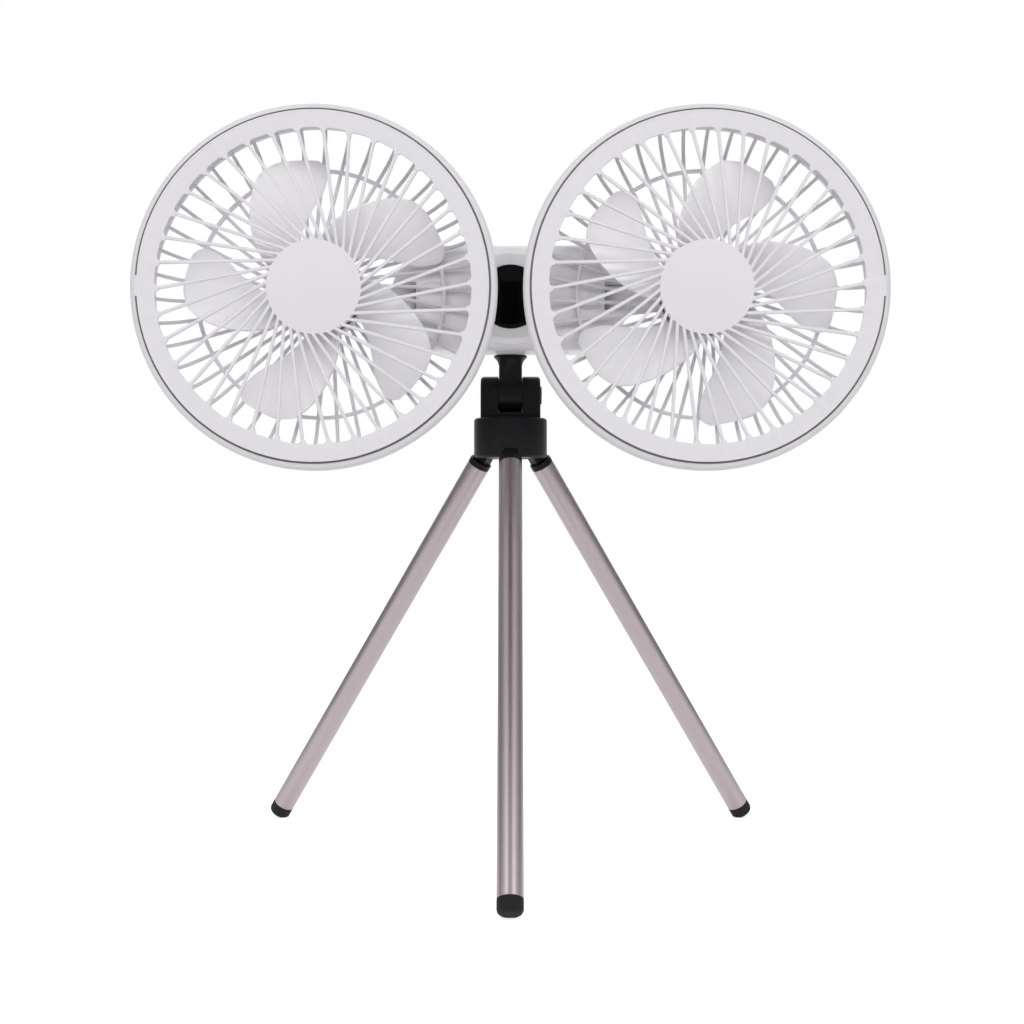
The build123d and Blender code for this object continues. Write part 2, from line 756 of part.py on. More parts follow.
def make_screws():
    case_head_y = body_half_depth - screw_recess - screw_head_height + seat_gap
    with BuildPart() as case_screws:
        with BuildSketch(seen_from_front(0, case_head_y, body_z)):
            with Locations(*case_screw_spots()):
                Circle(screw_radius)
        extrude(amount=screw_length)
        with BuildSketch(seen_from_front(0, case_head_y, body_z)):
            with Locations(*case_screw_spots()):
                Circle(screw_head_radius)
        extrude(amount=-screw_head_height)
        with BuildSketch(seen_from_front(0, case_head_y + screw_head_height, body_z)):
            with Locations(*case_screw_spots()):
                cross_recess(screw_radius)
        extrude(amount=screw_head_height / 2, mode=Mode.SUBTRACT)
    save(case_screws, "case_screws")
    plug_head_y = -body_half_depth + plug_thickness + screw_head_height + seat_gap
    with BuildPart() as plug_screws:
        with BuildSketch(seen_from_front(0, plug_head_y, body_z)):
            with Locations((plug_reach, 0), (-plug_reach, 0)):
                Circle(screw_radius)
        extrude(amount=-plug_screw_length)
        with BuildSketch(seen_from_front(0, plug_head_y, body_z)):
            with Locations((plug_reach, 0), (-plug_reach, 0)):
                Circle(screw_head_radius)
        extrude(amount=screw_head_height)
        with BuildSketch(seen_from_front(0, plug_head_y - screw_head_height, body_z)):
            with Locations((plug_reach, 0), (-plug_reach, 0)):
                cross_recess(screw_radius)
        extrude(amount=-screw_head_height / 2, mode=Mode.SUBTRACT)
    save(plug_screws, "plug_screws")
    with BuildPart() as screw_plugs:
        with BuildSketch(seen_from_front(0, -body_half_depth + plug_thickness, body_z)):
            with Locations((plug_reach, 0), (-plug_reach, 0)):
                Circle(plug_radius)
        extrude(amount=plug_thickness)
    save(screw_plugs, "screw_plugs")


def make_button():
    with BuildPart() as power_button:
        with BuildSketch(seen_from_front(0, flange_front_y, body_z)):
            Circle(button_radius)
        extrude(amount=flange_front_y - button_front_y)
        chamfer(power_button.edges().group_by(Axis.Y)[0], button_lip)
        with BuildSketch(seen_from_front(0, flange_back_y, body_z)):
            Circle(button_flange_radius)
        extrude(amount=button_flange_thickness)
    save(power_button, "power_button")
    with BuildPart() as push_switch:
        with BuildSketch(seen_from_front(0, board_y - seat_gap, body_z)):
            RectangleRounded(switch_size, switch_size, switch_size / 10)
        extrude(amount=(board_y - switch_front_y) / 2)
        with BuildSketch(seen_from_front(0, board_y - seat_gap, body_z)):
            Circle(switch_size / 4)
        extrude(amount=board_y - seat_gap - switch_front_y)
    save(push_switch, "push_switch")


def make_electronics():
    socket_y = board_back_y + seat_gap + socket_thickness / 2
    with BuildPart() as main_board:
        with BuildSketch(seen_from_front(0, board_back_y, body_z)):
            RectangleRounded(board_length, board_height, board_thickness)
        extrude(amount=board_thickness)
    save(main_board, "main_board")
    with BuildPart() as charging_socket:
        with BuildSketch(seen_from_above(socket_x, socket_y, body_bottom_z + socket_setback)):
            RectangleRounded(socket_width, socket_thickness, socket_thickness / 2 - seat_gap)
        extrude(amount=socket_length)
        with BuildSketch(seen_from_above(socket_x, socket_y, body_bottom_z + socket_setback)):
            wall = socket_thickness / 10
            inner = socket_thickness - 2 * wall
            RectangleRounded(socket_width - 2 * wall, inner, inner / 2 - seat_gap)
            Rectangle(socket_width * 0.7, inner / 3, mode=Mode.SUBTRACT)
        extrude(amount=socket_length * 0.7, mode=Mode.SUBTRACT)
    save(charging_socket, "charging_socket")
    with BuildPart() as charge_lights:
        with BuildSketch(seen_from_above(light_x, light_y, body_bottom_z + seat_gap)):
            with GridLocations(light_pitch, 1, light_count, 1):
                Circle(light_radius)
        extrude(amount=light_length)
    save(charge_lights, "charge_lights")


def make_battery():
    post_length = tray_front_y - board_back_y - seat_gap
    end_x = cell_length / 2 + slide_gap
    with BuildPart() as battery_cells:
        with BuildSketch(seen_from_right(-cell_length / 2, cell_y, cell_middle_z)):
            with GridLocations(1, cell_pitch, 1, 2):
                Circle(cell_radius)
        extrude(amount=cell_length)
        fillet(battery_cells.edges().filter_by(GeomType.CIRCLE), cell_radius / 12)
    save(battery_cells, "battery_cells")
    with BuildPart() as battery_tray:
        with BuildSketch(seen_from_front(0, tray_back_y, cell_middle_z)):
            Rectangle(2 * (end_x + tray_wall), tray_height)
        extrude(amount=tray_floor)
        for side in (1, -1):
            with BuildSketch(seen_from_right(side * end_x, tray_back_y, cell_middle_z)):
                Rectangle(tray_depth, tray_height, align=(Align.MIN, Align.CENTER))
            extrude(amount=side * tray_wall)
        with BuildSketch(seen_from_front(0, tray_front_y, body_z)):
            with GridLocations(2 * board_post_x, 2 * board_post_z, 2, 2):
                Circle(board_post_radius)
        extrude(amount=post_length)
    save(battery_tray, "battery_tray")


def make_swivel_pins():
    with BuildPart() as swivel_pins:
        for x in (swivel_reach, -swivel_reach):
            with BuildSketch(seen_from_above(x, 0, body_z)):
                Circle(swivel_pin_radius)
            extrude(amount=swivel_pin_half_length, both=True)
    save(swivel_pins, "swivel_pins")


def make_arm(name, side):
    pad_front_y = -front_ahead + head_depth + seat_gap
    pad_back_y = pad_front_y + pad_thickness
    half = arm_thickness / 2
    near_x = swivel_reach + eye_radius
    pad_x = head_reach - pad_radius
    with BuildPart() as head_arm:
        with BuildSketch(seen_from_above(0, 0, body_z)):
            with Locations((side * swivel_reach, 0)):
                Circle(eye_radius)
        extrude(amount=eye_height / 2, both=True)
        with BuildSketch(seen_from_above(0, 0, body_z)):
            with BuildLine():
                Polyline(
                    (side * swivel_reach, half),
                    (side * near_x, half / 2),
                    (side * head_reach, pad_back_y + half),
                    (side * (head_reach + half), pad_back_y - seat_gap),
                    (side * pad_x, pad_back_y - pad_thickness / 2),
                    (side * near_x, -half),
                    (side * swivel_reach, -half),
                    close=True,
                )
            make_face()
        extrude(amount=arm_height / 2, both=True)
        with BuildSketch(seen_from_front(side * head_reach, pad_back_y, body_z)):
            Circle(pad_radius)
        extrude(amount=pad_thickness)
        with BuildSketch(seen_from_above(side * swivel_reach, 0, body_z)):
            Circle(swivel_pin_radius + running_gap)
        extrude(amount=eye_height, both=True, mode=Mode.SUBTRACT)
        with BuildSketch(seen_from_front(side * head_reach, 0, body_z)):
            with PolarLocations(arm_screw_circle, arm_screw_count, start_angle=90):
                Circle(arm_screw_radius + small_gap)
        extrude(amount=front_ahead, mode=Mode.SUBTRACT)
    save(head_arm, f"head_arm_{name}")
    with BuildPart() as arm_screws:
        with BuildSketch(seen_from_front(side * head_reach, pad_back_y + seat_gap, body_z)):
            with PolarLocations(arm_screw_circle, arm_screw_count, start_angle=90):
                Circle(arm_screw_radius)
        extrude(amount=pad_thickness + bowl_thickness)
        with BuildSketch(seen_from_front(side * head_reach, pad_back_y + seat_gap, body_z)):
            with PolarLocations(arm_screw_circle, arm_screw_count, start_angle=90):
                Circle(arm_screw_head_radius)
        extrude(amount=-arm_screw_head_height)
        with BuildSketch(seen_from_front(side * head_reach, pad_back_y + arm_screw_head_height, body_z)):
            with PolarLocations(arm_screw_circle, arm_screw_count, start_angle=90):
                cross_recess(arm_screw_radius)
        extrude(amount=arm_screw_head_height / 2, mode=Mode.SUBTRACT)
    save(arm_screws, f"arm_screws_{name}")


def shell_front_curve():
    """The rim's rounded front, from its lip to its widest radius, as a line of the sketch that is open."""
    lip = (shell_mouth_radius + seat_gap, shell_front_depth)
    wide = (shell_radius, shell_wide_depth)
    RadiusArc(lip, wide, shell_wide_depth - shell_front_depth + seat_gap)
    return lip, wide


def make_rear_housing(name, side):
    bowl_in_radius = bowl_turn_radius - bowl_thickness
    flat_reach = shell_back_radius - bowl_turn_radius
    turn_depth = head_depth - bowl_turn_radius
    inner_depth = head_depth - bowl_thickness
    with BuildPart() as rear_housing:
        with BuildSketch(head_face(side, turn_depth)):
            Circle(shell_back_radius)
            Circle(shell_bore_radius - bowl_thickness, mode=Mode.SUBTRACT)
            ring_half = rear_ring_width / 2
            with BuildSketch(mode=Mode.PRIVATE) as ring:
                Circle(rear_ring_radius + ring_half)
                Circle(rear_ring_radius - ring_half, mode=Mode.SUBTRACT)
            add(ring.sketch)
            with PolarLocations(rear_bar_tangent, rear_bar_count, start_angle=rear_bar_phase):
                Rectangle(rear_bar_width, shell_bore_radius, align=(Align.CENTER, Align.MAX))
            Circle(pod_radius)
        extrude(amount=-2 * bowl_turn_radius)
        with BuildSketch(head_section(side)):
            with BuildLine():
                Polyline((0, inner_depth), (0, head_depth), (flat_reach, head_depth))
                RadiusArc((flat_reach, head_depth), (shell_back_radius, turn_depth), bowl_turn_radius)
                Line((shell_back_radius, turn_depth), (flat_reach + bowl_in_radius, turn_depth))
                RadiusArc((flat_reach + bowl_in_radius, turn_depth), (flat_reach, inner_depth), -bowl_in_radius)
                Line((flat_reach, inner_depth), (0, inner_depth))
            make_face()
        revolve(axis=head_axis(side), mode=Mode.INTERSECT)
        with BuildSketch(head_section(side)):
            with BuildLine():
                lip, wide = shell_front_curve()
                Line(wide, (shell_radius, shell_wide_end))
                Polyline(
                    (shell_radius, shell_wide_end),
                    (shell_back_radius, shell_back_depth),
                    (shell_bore_radius, shell_back_depth),
                    (shell_bore_radius, seat_depth),
                    (shell_mouth_radius, seat_depth),
                    (shell_mouth_radius, shell_front_depth),
                    lip,
                )
            make_face()
        revolve(axis=head_axis(side))
        with BuildSketch(head_face(side, pod_wall_front)):
            Circle(pod_radius)
            Circle(pod_radius - pod_wall, mode=Mode.SUBTRACT)
        extrude(amount=-(inner_depth - pod_wall_front))
        with BuildSketch(head_face(side, inner_depth - tube_boss_height)):
            Circle(tube_boss_radius)
        extrude(amount=-tube_boss_height)
        with BuildSketch(head_face(side, 0)):
            Circle(bearing_tube_radius + seat_gap)
        extrude(amount=-inner_depth, mode=Mode.SUBTRACT)
        with BuildSketch(head_face(side, 0)):
            with PolarLocations(arm_screw_circle, arm_screw_count, start_angle=90):
                Circle(arm_screw_radius + seat_gap)
        extrude(amount=-2 * head_depth, mode=Mode.SUBTRACT)
        with BuildSketch(head_face(side, 0)):
            with Locations((shell_bore_radius, 0)):
                Rectangle(2 * tab_width, tab_width + 2 * small_gap, align=(Align.MIN, Align.CENTER))
        extrude(amount=-seat_depth - small_gap, mode=Mode.SUBTRACT)
    save(rear_housing, f"rear_housing_{name}")


def make_front_grille(name, side):
    rim_reach = sqrt((bezel_inner_radius + bezel_rounding) ** 2 - front_bar_tangent**2)
    lead = degrees(atan2(rim_reach, front_bar_tangent))
    middle_radius = (bezel_inner_radius + bezel_radius) / 2
    skirt_radius = shell_bore_radius - slide_gap
    with BuildPart() as tab:
        with BuildSketch(head_face(side, 0)):
            with Locations((bezel_inner_radius + bezel_thickness, 0)):
                Rectangle(2 * tab_width, tab_width, align=(Align.MIN, Align.CENTER))
        extrude(amount=-seat_depth + small_gap)
        with BuildSketch(head_section(side)):
            with BuildLine():
                lip, wide = shell_front_curve()
                Polyline(
                    wide,
                    (bezel_inner_radius, shell_wide_depth),
                    (bezel_inner_radius, tab_front),
                    (bezel_radius - bezel_rounding, tab_front),
                    lip,
                )
            make_face()
        revolve(axis=head_axis(side), mode=Mode.INTERSECT)
    with BuildPart() as front_grille:
        with BuildSketch(head_face(side, 0)):
            Circle(middle_radius)
            Circle(bezel_inner_radius, mode=Mode.SUBTRACT)
            Circle(disc_radius)
            with PolarLocations(front_bar_tangent, front_bar_count, start_angle=front_bar_phase - lead):
                Rectangle(front_bar_width, rim_reach, align=(Align.CENTER, Align.MIN))
        extrude(amount=-2 * (disc_depth + grille_thickness))
        with BuildSketch(head_section(side)):
            with BuildLine():
                Polyline(
                    (0, disc_depth),
                    (disc_radius, disc_depth),
                    (bezel_inner_radius, grille_rim_depth),
                    (middle_radius, grille_rim_depth),
                    (middle_radius, grille_rim_depth + grille_thickness),
                    (bezel_inner_radius, grille_rim_depth + grille_thickness),
                    (disc_radius, disc_depth + grille_thickness),
                    (0, disc_depth + grille_thickness),
                    close=True,
                )
            make_face()
        revolve(axis=head_axis(side), mode=Mode.INTERSECT)
        with BuildSketch(head_section(side)):
            with BuildLine():
                Polyline(
                    (bezel_inner_radius, bezel_dip),
                    (bezel_radius - 2 * bezel_rounding, bezel_rounding / 2),
                    (bezel_radius - bezel_rounding, 0),
                )
                RadiusArc((bezel_radius - bezel_rounding, 0), (bezel_radius, bezel_rounding), bezel_rounding)
                Polyline(
                    (bezel_radius, bezel_rounding),
                    (bezel_radius, bezel_thickness),
                    (skirt_radius, bezel_thickness),
                    (skirt_radius, skirt_end),
                    (skirt_radius - skirt_wall, skirt_end),
                    (skirt_radius - skirt_wall, bezel_thickness),
                    (bezel_inner_radius, bezel_thickness),
                    (bezel_inner_radius, bezel_dip),
                )
            make_face()
        revolve(axis=head_axis(side))
        add(tab.part)
    save(front_grille, f"front_grille_{name}")


def blade_outline():
    """Front outline of one blade about its tip direction, which is the sketch's x axis.

    The points along its edges are given as a share of the span from root to tip, and an angle.
    """
    root = hub_cup_radius - hub_cup_wall / 2
    tip = blade_tip_radius
    lead_root = polar(root, blade_root_span[0])
    lead_tip = polar(tip, blade_tip_span[0])
    trail_tip = polar(tip, blade_tip_span[1])
    trail_root = polar(root, blade_root_span[1])
    lead_edge = [polar(root + share * (tip - root), angle) for share, angle in blade_lead_edge]
    trail_edge = [polar(root + share * (tip - root), angle) for share, angle in blade_trail_edge]
    Spline(lead_root, *lead_edge, lead_tip)
    ThreePointArc(lead_tip, polar(tip, sum(blade_tip_span) / 2), trail_tip)
    Spline(trail_tip, *trail_edge, trail_root)
    ThreePointArc(trail_root, polar(root, sum(blade_root_span) / 2), lead_root)


def blade_section(side, phase, radius, pitch):
    """Sketch plane across a blade at a radius, turned to the blade's pitch there."""
    face = head_face(side, blade_centre_depth)
    spoke = phase + blade_middle
    out = (face.x_dir * cos(radians(spoke)) + face.y_dir * sin(radians(spoke))).normalized()
    around = (face.y_dir * cos(radians(spoke)) - face.x_dir * sin(radians(spoke))).normalized()
    chord = around * cos(radians(pitch)) + face.z_dir * sin(radians(pitch))
    return Plane(origin=face.origin + out * radius, x_dir=chord, z_dir=out)


def make_fan(name, side):
    phase = blade_phase[name]
    chord = 2 * blade_tip_radius
    with BuildPart() as blade:
        with BuildSketch(blade_section(side, phase, hub_cup_radius / 2, blade_root_pitch)):
            Rectangle(chord, blade_thickness)
        with BuildSketch(blade_section(side, phase, blade_tip_radius + blade_thickness, blade_tip_pitch)):
            Rectangle(chord, blade_thickness)
        loft(ruled=True)
        with BuildSketch(head_face(side, 0)):
            with BuildLine(Plane.XY.rotated((0, 0, phase))):
                blade_outline()
            make_face()
        extrude(amount=-head_depth, mode=Mode.INTERSECT)
    with BuildPart() as fan_blades:
        with BuildSketch(head_face(side, hub_cup_front)):
            Circle(hub_cup_radius)
        extrude(amount=-(hub_cup_back - hub_cup_front))
        fillet(fan_blades.edges().group_by(Axis.Y)[0], hub_cup_rounding)
        with BuildSketch(head_face(side, hub_cup_front + hub_cup_wall)):
            Circle(hub_cup_radius - hub_cup_wall)
        extrude(amount=-head_depth, mode=Mode.SUBTRACT)
        with BuildSketch(head_face(side, hub_cup_front + hub_cup_wall)):
            Circle(shaft_boss_radius)
        extrude(amount=-shaft_boss_radius)
        for n in range(blade_count):
            add(blade.part.rotate(head_axis(side), 360 * n / blade_count))
        with BuildSketch(head_face(side, hub_cup_front + hub_cup_wall / 2)):
            Circle(shaft_radius + seat_gap)
        extrude(amount=-head_depth, mode=Mode.SUBTRACT)
    save(fan_blades, f"fan_blades_{name}")


def make_motor(name, side):
    cup_radius = hub_cup_radius - hub_cup_wall - seat_gap
    cup_front = hub_cup_front + hub_cup_wall + seat_gap
    cup_inner = cup_radius - rotor_cup_wall
    magnet_outer = cup_inner - seat_gap
    magnet_inner = magnet_outer - magnet_thickness
    stator_radius = magnet_inner - air_gap
    tooth_outer = stator_radius - stator_shoe
    core_radius = bearing_tube_radius + stator_hub
    stator_front = bearing_tube_front - stator_shoe / 4
    coil_overhang = stator_shoe * 0.75
    magnet_front = stator_front - stator_shoe
    with BuildPart() as rotor_cup:
        with BuildSketch(head_face(side, cup_front)):
            Circle(cup_radius)
            Circle(shaft_boss_radius + small_gap, mode=Mode.SUBTRACT)
        extrude(amount=-(hub_cup_back - cup_front - slide_gap))
        with BuildSketch(head_face(side, cup_front + rotor_cup_wall)):
            Circle(cup_inner)
        extrude(amount=-head_depth, mode=Mode.SUBTRACT)
    save(rotor_cup, f"rotor_cup_{name}")
    with BuildPart() as magnet_ring:
        with BuildSketch(head_face(side, magnet_front)):
            Circle(magnet_outer)
            Circle(magnet_inner, mode=Mode.SUBTRACT)
        extrude(amount=-(stator_length + stator_shoe))
    save(magnet_ring, f"magnet_ring_{name}")
    with BuildPart() as stator_core:
        with BuildSketch(head_face(side, stator_front)):
            Circle(stator_radius)
            Circle(tooth_outer, mode=Mode.SUBTRACT)
            with PolarLocations(stator_radius, stator_slots, start_angle=180 / stator_slots):
                Rectangle(4 * stator_shoe, stator_shoe, mode=Mode.SUBTRACT)
            Circle(core_radius)
            with PolarLocations(0, stator_slots):
                Rectangle(tooth_outer + seat_gap, stator_tooth_width, align=(Align.MIN, Align.CENTER))
            Circle(bearing_tube_radius + seat_gap, mode=Mode.SUBTRACT)
        extrude(amount=-stator_length)
    save(stator_core, f"stator_core_{name}")
    coil_inner = core_radius + stator_shoe
    coil_width = 2 * coil_inner * sin(radians(180 / stator_slots)) - slide_gap
    coil_length = sqrt(tooth_outer**2 - (coil_width / 2) ** 2) - coil_inner - slide_gap
    with BuildPart() as stator_coils:
        with BuildSketch(head_face(side, stator_front - coil_overhang)):
            with PolarLocations(coil_inner, stator_slots):
                Rectangle(coil_length, coil_width, align=(Align.MIN, Align.CENTER))
        extrude(amount=-(stator_length + 2 * coil_overhang))
        with BuildSketch(head_face(side, stator_front - seat_gap)):
            with PolarLocations(0, stator_slots):
                Rectangle(
                    stator_radius, stator_tooth_width + 2 * seat_gap, align=(Align.MIN, Align.CENTER)
                )
        extrude(amount=-(stator_length + 2 * seat_gap), mode=Mode.SUBTRACT)
    save(stator_coils, f"stator_coils_{name}")
    with BuildPart() as motor_shaft:
        with BuildSketch(head_face(side, hub_cup_front + hub_cup_wall / 2 + seat_gap)):
            Circle(shaft_radius)
        extrude(amount=-shaft_length)
    save(motor_shaft, f"motor_shaft_{name}")
    tube_end = head_depth - bowl_thickness - seat_gap
    with BuildPart() as bearing_tube:
        with BuildSketch(head_face(side, bearing_tube_front)):
            Circle(bearing_tube_radius)
            Circle(bearing_radius + seat_gap, mode=Mode.SUBTRACT)
        extrude(amount=-(tube_end - bearing_tube_front))
    save(bearing_tube, f"bearing_tube_{name}")
    rear_bearing = hub_cup_front + shaft_length - 2 * bearing_width
    with BuildPart() as motor_bearings:
        for depth in (bearing_tube_front + slide_gap, rear_bearing):
            with BuildSketch(head_face(side, depth)):
                Circle(bearing_radius)
                Circle(shaft_radius + running_gap, mode=Mode.SUBTRACT)
            extrude(amount=-bearing_width)
    save(motor_bearings, f"motor_bearings_{name}")


os.makedirs("parts", exist_ok=True)
make_hub()
make_leg_axles()
for leg_name, leg_azimuth in leg_azimuths.items():
    make_leg(leg_name, leg_azimuth)
make_yoke()
make_pan_screw()
make_hinge_bolt()
make_neck()
make_front_shell()
make_rear_shell()
make_screws()
make_button()
make_electronics()
make_battery()
make_swivel_pins()
for head_name, head_side in (("right", 1), ("left", -1)):
    make_arm(head_name, head_side)
    make_rear_housing(head_name, head_side)
    make_front_grille(head_name, head_side)
    make_fan(head_name, head_side)
    make_motor(head_name, head_side)
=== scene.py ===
# %% [markdown]
# # A battery fan with two heads on a folding stand
# The fan was designed as solids first: every piece has its real size and place, and its joints are known. This lesson
# dresses those solids, so that they look like moulded plastic, anodised tubes and rubber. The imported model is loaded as
# a frame that nothing here may move, and each new piece is told which moving body it rides on.

# %% Load the frame
import json
from math import atan2, cos, pi, radians, sin, sqrt

import bmesh
import bpy
from mathutils import Euler, Matrix, Vector


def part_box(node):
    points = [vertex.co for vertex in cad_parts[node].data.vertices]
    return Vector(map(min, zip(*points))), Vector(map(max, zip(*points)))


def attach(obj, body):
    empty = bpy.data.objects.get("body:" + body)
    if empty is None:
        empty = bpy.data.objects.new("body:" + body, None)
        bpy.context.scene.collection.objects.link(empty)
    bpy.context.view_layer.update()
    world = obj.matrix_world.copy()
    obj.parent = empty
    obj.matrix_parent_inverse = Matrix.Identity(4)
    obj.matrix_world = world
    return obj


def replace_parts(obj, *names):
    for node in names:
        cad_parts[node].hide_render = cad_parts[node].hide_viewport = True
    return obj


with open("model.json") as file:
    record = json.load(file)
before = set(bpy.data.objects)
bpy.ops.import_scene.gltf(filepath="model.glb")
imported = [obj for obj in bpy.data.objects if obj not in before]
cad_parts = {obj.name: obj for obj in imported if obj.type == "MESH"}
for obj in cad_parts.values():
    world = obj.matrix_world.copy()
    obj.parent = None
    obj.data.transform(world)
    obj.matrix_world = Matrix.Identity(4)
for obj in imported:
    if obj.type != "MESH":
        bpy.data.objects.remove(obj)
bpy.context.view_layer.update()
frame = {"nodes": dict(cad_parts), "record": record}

# %% [markdown]
# ## Where things are
# The two heads are alike: the left one is the right one turned half round. The motor shaft lies on each head's axis,
# so the middle of its box gives the axis, and the front of the grille's box gives the plane that depths start from.
# Sizes are written in millimetres, as they would be on a drawing, and turned into metres where a mesh is made.

# %% Places of the two heads
MM = 0.001
SIDES = {"right": 1, "left": -1}


def head_origin(name):
    """Where a head's axis meets its front plane."""
    low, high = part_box(f"motor_shaft_{name}")
    middle = (low + high) / 2
    return Vector((middle.x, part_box(f"front_grille_{name}")[0].y, middle.z))


HEADS = {name: head_origin(name) for name in SIDES}
print("head axes:", {name: [round(v, 4) for v in point] for name, point in HEADS.items()})

# %% [markdown]
# ## Finishes
# A finish is more than a colour. Moulded plastic has a fine grain from the mould, which breaks up its highlights, and
# its tone drifts a little over a large surface. Both come from noise on the piece's own coordinates, so they stay in
# place when the piece turns. The same few nodes serve every plastic and rubber part, with other numbers.

# %% A helper that adds a node with its settings
def add_node(tree, kind, inputs=None, **settings):
    """Adds a node, sets its properties, then sets or links its inputs, given by name or number."""
    node = tree.nodes.new(kind)
    for key, value in settings.items():
        setattr(node, key, value)
    for key, value in (inputs or {}).items():
        if isinstance(value, bpy.types.NodeSocket):
            tree.links.new(value, node.inputs[key])
        else:
            node.inputs[key].default_value = value
    return node


# %% A finish with mould grain and a drifting tone
def two_tones(tree, factor, pale, deep):
    """A colour between two tones. The mix node's colour sockets are its seventh and eighth."""
    mix = add_node(tree, "ShaderNodeMix", {"Factor": factor, 6: pale, 7: deep}, data_type="RGBA")
    return mix.outputs[2]


def new_finish(name, roughness, metallic=0.0, shine=0.5):
    """An empty material with its shader: gives the material, its tree and the shader node."""
    finish = bpy.data.materials.new(f"{name}_finish")
    finish.use_nodes = True
    tree = finish.node_tree
    shader = tree.nodes["Principled BSDF"]
    shader.inputs["Roughness"].default_value = roughness
    shader.inputs["Metallic"].default_value = metallic
    shader.inputs["Specular IOR Level"].default_value = shine
    return finish, tree, shader


def grained(name, pale, deep, roughness, grain=1600.0, bump=0.05, metallic=0.0, shine=0.5):
    """A moulded or cast finish: two close tones, grain in the surface and a roughness that varies."""
    finish, tree, shader = new_finish(name, roughness, metallic, shine)
    place = add_node(tree, "ShaderNodeTexCoord").outputs["Object"]
    tone = add_node(tree, "ShaderNodeTexNoise", {"Vector": place, "Scale": 14.0, "Detail": 4.0})
    tree.links.new(two_tones(tree, tone.outputs["Fac"], pale, deep), shader.inputs["Base Color"])
    fine = add_node(tree, "ShaderNodeTexNoise", {"Vector": place, "Scale": grain, "Detail": 3.0, "Roughness": 0.6})
    lift = add_node(
        tree, "ShaderNodeMapRange",
        {"Value": fine.outputs["Fac"], "To Min": roughness - 0.06, "To Max": roughness + 0.06},
    )
    tree.links.new(lift.outputs["Result"], shader.inputs["Roughness"])
    relief = add_node(tree, "ShaderNodeBump", {"Height": fine.outputs["Fac"], "Strength": bump, "Distance": 0.0003})
    tree.links.new(relief.outputs["Normal"], shader.inputs["Normal"])
    return finish


def grey(value, red=0.0, blue=0.0):
    """A near-neutral colour in linear light."""
    return (value + red, value, value + blue, 1.0)


white_plastic = grained("white_plastic", grey(0.7, 0.012, 0.03), grey(0.685, 0.012, 0.03), 0.45)
# Painted light: a paler copy of the white plastic for the fans, body, plugs and arms. It brightens them to make up for
# the shade inside and behind the heads.
bright_white = grained("bright_white", grey(0.87, 0.01, 0.02), grey(0.855, 0.01, 0.02), 0.42)
black_plastic = grained("black_plastic", grey(0.006, 0.0, 0.001), grey(0.0045, 0.0, 0.001), 0.42, bump=0.1, shine=0.15)
black_rubber = grained("black_rubber", grey(0.012), grey(0.009), 0.7, grain=900.0, bump=0.25, shine=0.25)
# Painted shade: a dark grey for the ring in each parting line, which stands for the shadow in the gap.
seal_rubber = grained("seal_rubber", grey(0.15, 0.012, 0.0), grey(0.13, 0.01, 0.0), 0.6, grain=900.0, shine=0.2)
clear_light = grained("clear_light", grey(0.6, 0.0, 0.02), grey(0.55), 0.3)
steel = grained("steel", grey(0.52, 0.0, 0.01), grey(0.45), 0.32, metallic=1.0)
dark_steel = grained("dark_steel", grey(0.03), grey(0.022), 0.4, metallic=0.6)
brass = grained("brass", (0.62, 0.42, 0.16, 1.0), (0.52, 0.34, 0.12, 1.0), 0.3, metallic=1.0)
magnet = grained("magnet", grey(0.09), grey(0.06), 0.6, metallic=0.5)
print("materials so far:", len(bpy.data.materials))

# %% [markdown]
# ### Glossy black for the power button
# The button is a polished disc. Fingers leave very fine rub marks on polished plastic, which dull its reflections here
# and there. So its roughness is low and follows a stretched noise.

# %% Gloss black
def polished(name, tone):
    """A polished plastic with faint rub marks."""
    finish, tree, shader = new_finish(name, 0.07, shine=0.06)
    place = add_node(tree, "ShaderNodeTexCoord").outputs["Object"]
    stretched = add_node(tree, "ShaderNodeMapping", {"Vector": place, "Scale": (1.0, 1.0, 9.0)})
    marks = add_node(
        tree, "ShaderNodeTexNoise", {"Vector": stretched.outputs["Vector"], "Scale": 260.0, "Detail": 6.0}
    )
    dull = add_node(
        tree, "ShaderNodeMapRange", {"Value": marks.outputs["Fac"], "From Min": 0.5, "To Min": 0.05, "To Max": 0.16}
    )
    tree.links.new(dull.outputs["Result"], shader.inputs["Roughness"])
    shade = add_node(tree, "ShaderNodeTexNoise", {"Vector": place, "Scale": 30.0})
    tree.links.new(two_tones(tree, shade.outputs["Fac"], tone, grey(tone[1] * 0.6)), shader.inputs["Base Color"])
    return finish


black_gloss = polished("black_gloss", grey(0.0025))
print("gloss black made")

# %% [markdown]
# ### Anodised tube
# The legs are drawn aluminium tubes with a satin anodised coat. Drawing leaves fine lines along the tube and blasting
# leaves a sparkle across it. Each tube gets a UV map with one direction along it, so that both patterns can follow the
# tube whichever way its leg leans.

